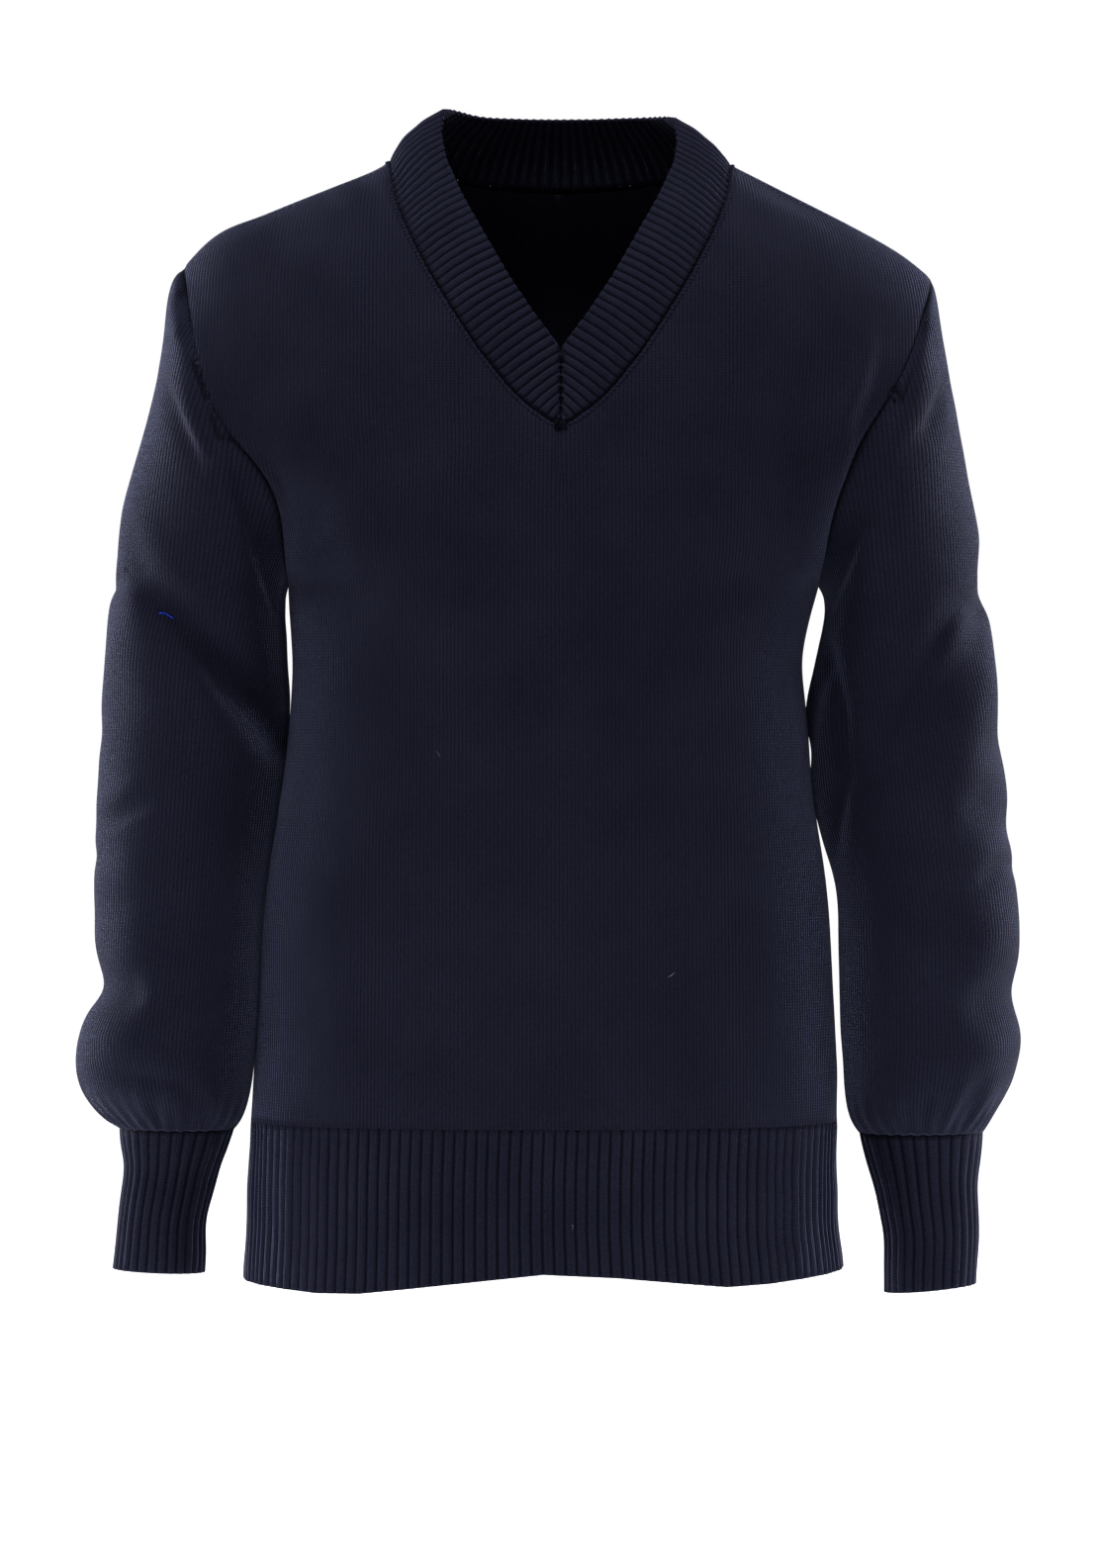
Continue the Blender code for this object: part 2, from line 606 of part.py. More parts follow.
def ribbed_wall(name, skin, normals, ribs, material):
    """A band of ribbed knit: ribs in its outer points over a plain inside."""
    index = skin["grids"][0]
    closed = bool((index[:, 0] == index[:, -1]).all())
    outer = drawn_in(skin, SEAM_GAP / 2)
    inner = inner_points(outer, normals, RIB_WALL)
    leans = unit(normals)
    steps = np.linalg.norm(np.diff(skin["points"][index], axis=1), axis=2).mean(axis=0)
    stations = np.concatenate(([0.0], np.cumsum(steps))) / steps.sum()
    fine = np.linspace(0.0, 1.0, 2 * ribs + 1)
    before = np.clip(np.searchsorted(stations, fine, side="right") - 1, 0, len(steps) - 1)
    share = (fine - stations[before]) / (stations[before + 1] - stations[before])
    crest = np.where(np.arange(len(fine)) % 2 == 1, 0.5, -0.5) * RIB_RELIEF
    points = []
    outer_rows = []
    inner_rows = []
    for row in index:
        line = outer[row[before]] * (1 - share)[:, None] + outer[row[before + 1]] * share[:, None]
        lean = leans[row[before]] * (1 - share)[:, None] + leans[row[before + 1]] * share[:, None]
        raised = line + unit(lean) * crest[:, None]
        outer_rows.append(numbered(points, raised, closed))
        inner_rows.append(numbered(points, inner[row], closed))
    faces = []
    for upper, lower in ((outer_rows, 1), (inner_rows, -1)):
        for first, second in zip(upper, upper[1:]):
            for a in range(len(first) - 1):
                faces.append((first[a], first[a + 1], second[a + 1], second[a])[::lower])
    faces += [face[::-1] for face in laced(outer_rows[0], inner_rows[0])]
    faces += laced(outer_rows[-1], inner_rows[-1])
    if not closed:
        for end, turn in ((0, 1), (-1, -1)):
            for row in range(len(index) - 1):
                quad = (outer_rows[row][end], outer_rows[row + 1][end],
                        inner_rows[row + 1][end], inner_rows[row][end])
                faces.append(quad[::turn])
    directions = np.cross(points[faces[0][2]] - points[faces[0][0]],
                          points[faces[0][3]] - points[faces[0][1]])
    if np.dot(directions, normals[index[0, 0]]) < 0:
        faces = [face[::-1] for face in faces]
    return add_object(name, points, faces, material)


def numbered(points, line, closed):
    """Adds a line's points to the list and gives their numbers, back to the first if closed."""
    start = len(points)
    count = len(line) - 1 if closed else len(line)
    points.extend(line[:count])
    numbers = list(range(start, start + count))
    return numbers + [start] if closed else numbers


def knit_material(name, colour, roughness):
    """A dark wool finish."""
    material = bpy.data.materials.new(name)
    material.use_nodes = True
    shader = material.node_tree.nodes["Principled BSDF"]
    shader.inputs["Base Color"].default_value = (*colour, 1.0)
    shader.inputs["Roughness"].default_value = roughness
    shader.inputs["Metallic"].default_value = 0.0
    return material


for old in list(bpy.data.objects):
    bpy.data.objects.remove(old, do_unlink=True)

right_half = front_half("right_x", RIGHT_CROWN)
left_half = front_half("left_x", LEFT_CROWN)
back = back_grid(right_half, left_half)

first_armhole_row = len(BODY["z"])
v_row = first_armhole_row + V_ROW
half_back = back.shape[1] // 2
neck_start = SHOULDER_COLUMNS
right_neckline = np.concatenate([right_half[v_row:, 0], back[-1, neck_start + 1:half_back + 1]])
left_neckline = np.concatenate([left_half[v_row:, 0], back[-1, half_back:-neck_start - 1][::-1]])

skins = {}
front_places = weld([right_half[:, ::-1], left_half])
front_points = front_places["points"]
front_lift = fold_lift(front_points[:, 0], front_points[:, 2], FRONT_FOLDS)
skins["front_panel"] = folded(front_places, front_lift)
back_places = weld([back])
back_points = back_places["points"]
back_lift = fold_lift(back_points[:, 0], back_points[:, 2], BACK_FOLDS)
skins["back_panel"] = folded(back_places, back_lift)

front_seam = np.concatenate([right_half[0, :0:-1], left_half[0]])
skins["front_welt"] = weld([welt_grid(front_seam, "front_y")])
skins["back_welt"] = weld([welt_grid(back[0], "back_y")])

sides = (
    ("right", right_half, back[:, 0], RIGHT_SLEEVE, RIGHT_CUFF, RIGHT_SLEEVE_FOLDS),
    ("left", left_half, back[:, -1], LEFT_SLEEVE, LEFT_CUFF, LEFT_SLEEVE_FOLDS),
)
for side, half, back_edge, sleeve_sizes, cuff_sizes, folds in sides:
    front_edge = half[first_armhole_row:, -1]
    armhole = np.concatenate([front_edge[::-1], back_edge[first_armhole_row + 1:]])
    sleeve = sleeve_grid(armhole, sleeve_sizes)
    skins[side + "_sleeve"] = sleeve_skin(sleeve, folds)
    skins[side + "_cuff"] = weld([cuff_grid(sleeve[-1], cuff_sizes)])

skins["neckband"] = weld([neckband_grid(right_neckline, left_neckline)])

plain_knit = knit_material("plain_knit", (0.010, 0.011, 0.022), 0.85)
rib_knit = knit_material("rib_knit", (0.012, 0.013, 0.026), 0.85)
ribs_of = {
    "front_welt": WELT_RIBS,
    "back_welt": WELT_RIBS,
    "right_cuff": CUFF_RIBS,
    "left_cuff": CUFF_RIBS,
    "neckband": NECKBAND_RIBS,
}
for (name, skin), normals in zip(skins.items(), point_normals(skins.values())):
    if name in ribs_of:
        ribbed_wall(name, skin, normals, ribs_of[name], rib_knit)
    else:
        plain_wall(name, skin, normals, plain_knit)
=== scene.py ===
import math

import bmesh
import bpy
import numpy as np
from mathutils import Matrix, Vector, noise
from mathutils.bvhtree import BVHTree
from mathutils.kdtree import KDTree


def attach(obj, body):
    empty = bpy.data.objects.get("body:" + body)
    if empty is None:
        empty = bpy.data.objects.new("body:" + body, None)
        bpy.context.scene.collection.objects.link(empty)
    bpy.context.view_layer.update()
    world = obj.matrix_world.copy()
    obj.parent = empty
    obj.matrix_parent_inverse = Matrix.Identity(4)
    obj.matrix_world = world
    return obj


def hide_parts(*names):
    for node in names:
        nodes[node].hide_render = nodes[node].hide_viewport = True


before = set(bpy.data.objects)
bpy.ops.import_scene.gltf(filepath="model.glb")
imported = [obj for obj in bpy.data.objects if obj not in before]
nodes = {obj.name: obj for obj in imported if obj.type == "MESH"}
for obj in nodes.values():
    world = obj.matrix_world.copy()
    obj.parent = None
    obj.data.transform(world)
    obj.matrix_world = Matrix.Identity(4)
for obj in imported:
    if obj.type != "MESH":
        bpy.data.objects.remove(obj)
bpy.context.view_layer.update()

scene = bpy.context.scene
mm = 0.001

plainPieces = ["front_panel", "back_panel", "right_sleeve", "left_sleeve"]
ribPieces = ["front_welt", "back_welt", "right_cuff", "left_cuff", "neckband"]


# The outer face of each knitted piece, taken from its solid

skinSettings = {
    "merge": 2e-5,  # points closer than this are one
    "behind": 1e-5,  # a look through the wall starts this far below a face
    "thickest": 4.8 * mm,  # no wall is thicker
    "facing": -0.75,  # the other side of a wall faces the other way
    "turn": 1.2,  # a sharper turn than this is the rim of the cloth
    "around": 10,  # faces that tell how the cloth lies at a place
    "lie": 0.15,  # an outer face turns away from them no more than this cosine
    "joinTurn": 1.2,  # triangles join into four-sided faces up to this turn
    "joinShape": 2.0,
    "corner": 0.7,  # an outline that turns more than this has a corner
    "pinReach": 1.2 * mm,  # and its neighbours' corners stay beside it
    "plainLevels": 3,
    "ribLevels": 2,
    "fitting": 6,  # rounds that bring the smooth skin back to the solid's points
}


def treeOf(places):
    tree = KDTree(len(places))
    for number, place in enumerate(places):
        tree.insert(place, number)
    tree.balance()
    return tree


def wallFaces(bm):
    # faces that have the other side of the wall right behind them
    tree = BVHTree.FromBMesh(bm)
    found = set()
    for face in bm.faces:
        start = face.calc_center_median() - face.normal * skinSettings["behind"]
        place, normal, _, _ = tree.ray_cast(start, -face.normal, skinSettings["thickest"])
        if place is not None and normal.dot(face.normal) < skinSettings["facing"]:
            found.add(face)
    return found


def islandsOf(faces):
    # groups of faces that join without a sharp turn, the largest first
    left = set(faces)
    groups = []
    while left:
        queue = [left.pop()]
        group = []
        while queue:
            face = queue.pop()
            group.append(face)
            for edge in face.edges:
                if edge.calc_face_angle(0.0) > skinSettings["turn"]:
                    continue
                near = [other for other in edge.link_faces if other in left]
                left.difference_update(near)
                queue.extend(near)
        groups.append(group)
    return sorted(groups, key=lambda group: -sum(face.calc_area() for face in group))


def outerFaces(bm):
    # the larger side of the wall: its points lie on faces that face as it does around them
    outside = islandsOf(wallFaces(bm))[0]
    tree = treeOf([face.calc_center_median() for face in outside])
    normals = [face.normal * face.calc_area() for face in outside]
    side = {vert: 0.0 for vert in bm.verts}
    facing = {}
    for face in bm.faces:
        near = tree.find_n(face.calc_center_median(), skinSettings["around"])
        lie = sum((normals[number] for _, number, _ in near), Vector()).normalized()
        facing[face] = lie.dot(face.normal)
        for vert in face.verts:
            side[vert] += facing[face] * face.calc_area()
    return {face for face in bm.faces
            if facing[face] > skinSettings["lie"]
            and min(side[vert] for vert in face.verts) > 0}


mitreSettings = {  # where the neckband's two halves meet below the V
    "across": 0.76 * mm,
    "before": -0.06,  # it lies in front of this depth
    "tip": (0.76 * mm, -0.0916, -0.1412),
    "gap": 0.5 * mm,  # points this close to it and to each other become one
    "tipReach": 2.2 * mm,
    "tipGap": 1.1 * mm,
    "line": (0.35 * mm, 1.0 * mm),  # its shadow ends between these
}


def closeMitre(bm):
    # the band's two halves become one skin where they meet in front
    near = [vert for vert in bm.verts if vert.co.y < mitreSettings["before"]
            and abs(vert.co.x - mitreSettings["across"]) < mitreSettings["gap"]]
    bmesh.ops.remove_doubles(bm, verts=near, dist=mitreSettings["gap"])
    tip = Vector(mitreSettings["tip"])
    near = [vert for vert in bm.verts if (vert.co - tip).length < mitreSettings["tipReach"]]
    bmesh.ops.remove_doubles(bm, verts=near, dist=mitreSettings["tipGap"])
    bm.normal_update()


def coarseSkin(name):
    bm = bmesh.new()
    bm.from_mesh(nodes[name].data)
    bmesh.ops.remove_doubles(bm, verts=bm.verts[:], dist=skinSettings["merge"])
    bm.normal_update()
    keep = outerFaces(bm)
    dropped = [face for face in bm.faces if face not in keep]
    bmesh.ops.delete(bm, geom=dropped, context="FACES")
    if name == "neckband":
        closeMitre(bm)
    bmesh.ops.join_triangles(bm, faces=bm.faces[:],
                             angle_face_threshold=skinSettings["joinTurn"],
                             angle_shape_threshold=skinSettings["joinShape"],
                             topology_influence=1.0)
    bm.normal_update()
    print(name, len(keep), "outer faces,", len(bm.faces), "after joining,",
          sum(len(face.verts) == 3 for face in bm.faces), "triangles")
    return bm


def markRibs(bm):
    # 1 on a rib's crest and 0 in a furrow
    rib = bm.verts.layers.float.new("rib")
    for vert in bm.verts:
        nearest = sorted(vert.link_edges, key=lambda edge: edge.calc_length())[:2]
        middle = sum((edge.other_vert(vert).co for edge in nearest), Vector()) / 2
        vert[rib] = 1.0 if vert.normal.dot(vert.co - middle) > 0 else 0.0
    along = [edge for edge in bm.edges if edge.verts[0][rib] == edge.verts[1][rib]]
    bmesh.ops.subdivide_edges(bm, edges=along, cuts=1, use_grid_fill=True)


def cornersOf(bm, plain):
    # where the outline of a piece turns sharply
    found = []
    for vert in bm.verts:
        rims = [edge for edge in vert.link_edges if edge.is_boundary]
        if len(rims) != 2:
            continue
        first, second = ((edge.other_vert(vert).co - vert.co).normalized() for edge in rims)
        turn = math.pi - first.angle(second, math.pi)
        if len(vert.link_faces) == 1 or plain and turn > skinSettings["corner"]:
            found.append(vert.co.copy())
    return found


def pinCorners(bm, corners):
    pin = bm.verts.layers.float.new("crease_vert")
    for vert in bm.verts:
        nearest = min((vert.co - place).length for place in corners)
        if vert.is_boundary and nearest < skinSettings["pinReach"]:
            vert[pin] = 1.0


def pointsOf(mesh):
    flat = np.empty(3 * len(mesh.vertices), np.float32)
    mesh.vertices.foreach_get("co", flat)
    return flat.reshape(-1, 3).astype(float)


def normalsOf(mesh):
    flat = np.empty(3 * len(mesh.vertices), np.float32)
    mesh.vertex_normals.foreach_get("vector", flat)
    return flat.reshape(-1, 3).astype(float)


def setPoints(mesh, points):
    mesh.vertices.foreach_set("co", points.astype(np.float32).ravel())
    mesh.update()


def bakedMesh(piece):
    bpy.context.view_layer.update()
    graph = bpy.context.evaluated_depsgraph_get()
    return bpy.data.meshes.new_from_object(piece.evaluated_get(graph))


def denseSkin(name, bm, levels):
    # smooth between the solid's points, and still through every one of them
    mesh = bpy.data.meshes.new(name)
    bm.to_mesh(mesh)
    piece = bpy.data.objects.new("knit_" + name, mesh)
    scene.collection.objects.link(piece)
    smooth = piece.modifiers.new("smooth", "SUBSURF")
    smooth.levels = smooth.render_levels = levels
    smooth.boundary_smooth = "ALL"
    wanted = pointsOf(mesh)
    held = wanted.copy()
    for _ in range(skinSettings["fitting"]):
        dense = bakedMesh(piece)
        held += wanted - pointsOf(dense)[:len(wanted)]
        setPoints(mesh, held)
        bpy.data.meshes.remove(dense)
    dense = bakedMesh(piece)
    piece.modifiers.clear()
    piece.data = dense
    piece.data.name = "knit_" + name
    return piece


coarse = {name: coarseSkin(name) for name in plainPieces + ribPieces}
for name in ribPieces:
    markRibs(coarse[name])
corners = []
for name, bm in coarse.items():
    corners += cornersOf(bm, name in plainPieces)
pieces = {}
for name, bm in coarse.items():
    pinCorners(bm, corners)
    level = skinSettings["plainLevels" if name in plainPieces else "ribLevels"]
    pieces[name] = denseSkin(name, bm, level)
    bm.free()
print("skins", {name: len(piece.data.polygons) for name, piece in pieces.items()})


# Small corrections of form. Each row moves the cloth near a place: pieces, place, reach and
# move, in mm

nudges = [
    ("right_sleeve", (-140, -12, -385), (32, 80, 125), (2.3, 0, 0)),
    ("panel", (-150, 0, -385), (30, 60, 115), (-0.8, 0, 0)),
    ("left_sleeve", (133, -10, -306), (30, 70, 42), (-3.2, 0, 0)),
    ("", (-66, 10, 14), (26, 60, 26), (-1.2, 0, 4.4)),
    ("", (-178, 5, -50), (34, 70, 22), (-0.4, 0, 2.8)),
    ("", (-168, -15, -490), (18, 40, 30), (1.3, 0, 0)),
    ("", (153, -15, -492), (18, 40, 30), (-1.5, 0, 0)),
]

smoothed = [  # piece, place, reach, how often the cloth there is evened out, and its rim too
    ("back_panel", (90, 38, -26), (24, 45, 40), 60, False),
    ("back_panel", (-90, 38, -26), (24, 45, 40), 60, False),
    ("back_panel", (0, 60, -20), (12, 60, 14), 30, False),
    ("neckband", (0.8, -86, -118), (1.6, 14, 27), 6, False),
    ("neckband", (0.8, -91.6, -141), (3.2, 3, 3.6), 25, True),
]
smoothedLater = [  # and once its rim has met its neighbours
    ("right_sleeve", (-178, -48, -122), (24, 32, 42), 45, False),
    ("left_sleeve", (175, -48, -118), (24, 32, 42), 45, False),
    ("right_sleeve", (-182, 52, -118), (24, 34, 36), 45, False),
    ("left_sleeve", (180, 52, -118), (24, 34, 36), 45, False),
]


def evenOut(mesh, place, reach, times, rimToo):
    # each round brings a point halfway to the middle of its neighbours
    bm = bmesh.new()
    bm.from_mesh(mesh)
    chosen = []
    for vert in bm.verts:
        offset = [(vert.co[axis] / mm - place[axis]) / reach[axis] for axis in range(3)]
        if (rimToo or not vert.is_boundary) and sum(part * part for part in offset) < 1:
            chosen.append(vert)
    for _ in range(times):
        bmesh.ops.smooth_vert(bm, verts=chosen, factor=0.5, use_axis_x=True, use_axis_y=True,
                              use_axis_z=True)
    bm.to_mesh(mesh)
    bm.free()


for part, *row in smoothed:
    evenOut(pieces[part].data, *row)

for name, piece in pieces.items():
    points = pointsOf(piece.data)
    for part, place, reach, move in nudges:
        if part in name:
            spread = (((points / mm - place) / reach) ** 2).sum(axis=1)
            points += np.exp(-spread**2)[:, None] * np.array(move) * mm
    setPoints(piece.data, points)


# Seams: the edges of neighbouring pieces meet, and roll in a little where they join

seamSettings = {
    "reach": 2.5 * mm,  # edges closer than this belong to one seam
    "plainReach": 6.5 * mm,  # and these, between two plain pieces
    "spread": 9.0 * mm,  # how far into a piece its edge's move is shared out
    "roll": 4.0 * mm,  # width of the cloth that rolls in at a seam
    "plainDip": 0.9 * mm,
    "ribDip": 0.35 * mm,
    "shade": (0.5 * mm, 2.2 * mm),  # a seam's shadow ends between these
    "sewn": (-0.47, -0.44),  # lower down, ribs grow out of the plain knit without a seam
    "ribShade": 0.4,  # share of the shadow that is left there
    "ribRoll": 0.2,  # and of the roll
    "samples": 6,  # places looked at along each edge
}
bandWords = ("cuff", "welt", "neckband")
seamRules = {  # by kind of piece: whose edges it meets, within which reach, its share of the way
    "sleeve": [(bandWords, "reach", 0.5), (("panel",), "plainReach", 1.0)],
    "panel": [(bandWords, "reach", 0.5), (("panel",), "reach", 0.5),
              (("sleeve",), "plainReach", 0.0)],
    "": [(("",), "reach", 0.5)],
}


def rimEdges(mesh):
    edgeOf = np.empty(len(mesh.loops), int)
    mesh.loops.foreach_get("edge_index", edgeOf)
    ends = np.empty(2 * len(mesh.edges), int)
    mesh.edges.foreach_get("vertices", ends)
    return ends.reshape(-1, 2)[np.bincount(edgeOf, minlength=len(mesh.edges)) == 1]


def rimSamples(mesh):
    points, edges = pointsOf(mesh), rimEdges(mesh)
    steps = np.linspace(0.0, 1.0, seamSettings["samples"], endpoint=False)[:, None, None]
    return (points[edges[:, 0]] * (1 - steps) + points[edges[:, 1]] * steps).reshape(-1, 3)


def seamMoves(name, samples):
    # how far each rim point of a piece moves to meet its neighbours; sleeves follow the armholes
    points = pointsOf(pieces[name].data)
    rim = np.unique(rimEdges(pieces[name].data))
    steps = []
    for words, reach, share in next(seamRules[kind] for kind in seamRules if kind in name):
        places = [samples[other] for other in pieces
                  if other != name and any(word in other for word in words)]
        steps.append((treeOf(np.concatenate(places)), seamSettings[reach], share))
    shifts = np.zeros((len(rim), 3))
    joined = np.zeros(len(rim), bool)
    for row, number in enumerate(rim):
        for tree, reach, share in steps:
            place, _, distance = tree.find(points[number])
            if distance < reach:
                shifts[row] = (np.array(place) - points[number]) * share
                joined[row] = True
                break
    return points, rim, shifts, joined


def joinSeams():
    samples = {name: rimSamples(piece.data) for name, piece in pieces.items()}
    moved = {}
    seams = {}
    for name in pieces:
        points, rim, shifts, joined = seamMoves(name, samples)
        near = treeOf(points[rim])
        toSeam = treeOf(points[rim[joined]])
        distances = np.empty(len(points))
        for number, point in enumerate(points):
            _, row, distance = near.find(point)
            share = max(0.0, 1.0 - distance / seamSettings["spread"]) ** 2
            points[number] += shifts[row] * share
            distances[number] = toSeam.find(point)[2]
        moved[name] = points
        seams[name] = distances
    for name, piece in pieces.items():
        setPoints(piece.data, moved[name])
    return seams


seamDistance = joinSeams()
for part, *row in smoothedLater:
    evenOut(pieces[part].data, *row)
print("seams joined")


# Where each point lies on its piece, across the wales and along them

knitSettings = {  # a wale's width and a course's height
    "wale": 2.0 * mm,
    "course": 1.45 * mm,
    "sleeveWales": 144,
    "bodyBend": 1.45,  # how the front's curve adds to the way across it
    "bodyLevels": 40,
}
sleeveAxes = {  # height, and the sleeve's middle across and in depth, in mm
    "right_sleeve": [(-60, -160, 2), (-150, -172, 0), (-230, -182, -3), (-300, -187, -6),
                     (-380, -192, -12), (-450, -198, -16), (-490, -193, -16)],
    "left_sleeve": [(-60, 158, 2), (-150, 166, 0), (-230, 172, -3), (-300, 177, -6),
                    (-380, 186, -12), (-450, 187, -16), (-490, 183, -16)],
}


def sleevePlace(name, points):
    # degrees round the sleeve from its outer edge, over the front, and height in mm
    rows = np.array(sleeveAxes[name], float)[::-1]
    z = points[:, 2] / mm
    middleX = np.interp(z, rows[:, 0], rows[:, 1])
    middleY = np.interp(z, rows[:, 0], rows[:, 2])
    outward = (points[:, 0] / mm - middleX) * (-1 if name.startswith("right") else 1)
    return np.degrees(np.arctan2(middleY - points[:, 1] / mm, outward)) % 360.0, z


def bodyPlace(points):
    # way across the front or back from its middle, and up it, in mm
    x, y, z = (points / mm).T
    levels = np.linspace(z.min(), z.max(), knitSettings["bodyLevels"])
    rows = len(levels) - 1
    level = np.clip(np.digitize(z, levels) - 1, 0, rows - 1)
    deepest = np.array([np.abs(y[level == row]).max() if (level == row).any() else 0.0
                        for row in range(rows)])
    drop = np.maximum(np.interp(z, (levels[1:] + levels[:-1]) / 2, deepest) - np.abs(y), 0.0)
    bend = knitSettings["bodyBend"]
    across = (np.abs(x) ** bend + drop ** bend) ** (1 / bend)
    return across * np.sign(x), z


def setKnitMap(piece, across, along, wrap=None):
    # one unit of the map is one wale across and one course along
    mesh = piece.data
    layer = mesh.uv_layers.new(name="knit")
    vertOf = np.empty(len(mesh.loops), int)
    mesh.loops.foreach_get("vertex_index", vertOf)
    u, v = across[vertOf], along[vertOf]
    if wrap:
        firsts = np.empty(len(mesh.polygons), int)
        mesh.polygons.foreach_get("loop_start", firsts)
        counts = np.empty(len(mesh.polygons), int)
        mesh.polygons.foreach_get("loop_total", counts)
        start = np.repeat(u[firsts], counts)
        u = u - wrap * np.round((u - start) / wrap)
    layer.data.foreach_set("uv", np.stack([u, v], axis=1).astype(np.float32).ravel())
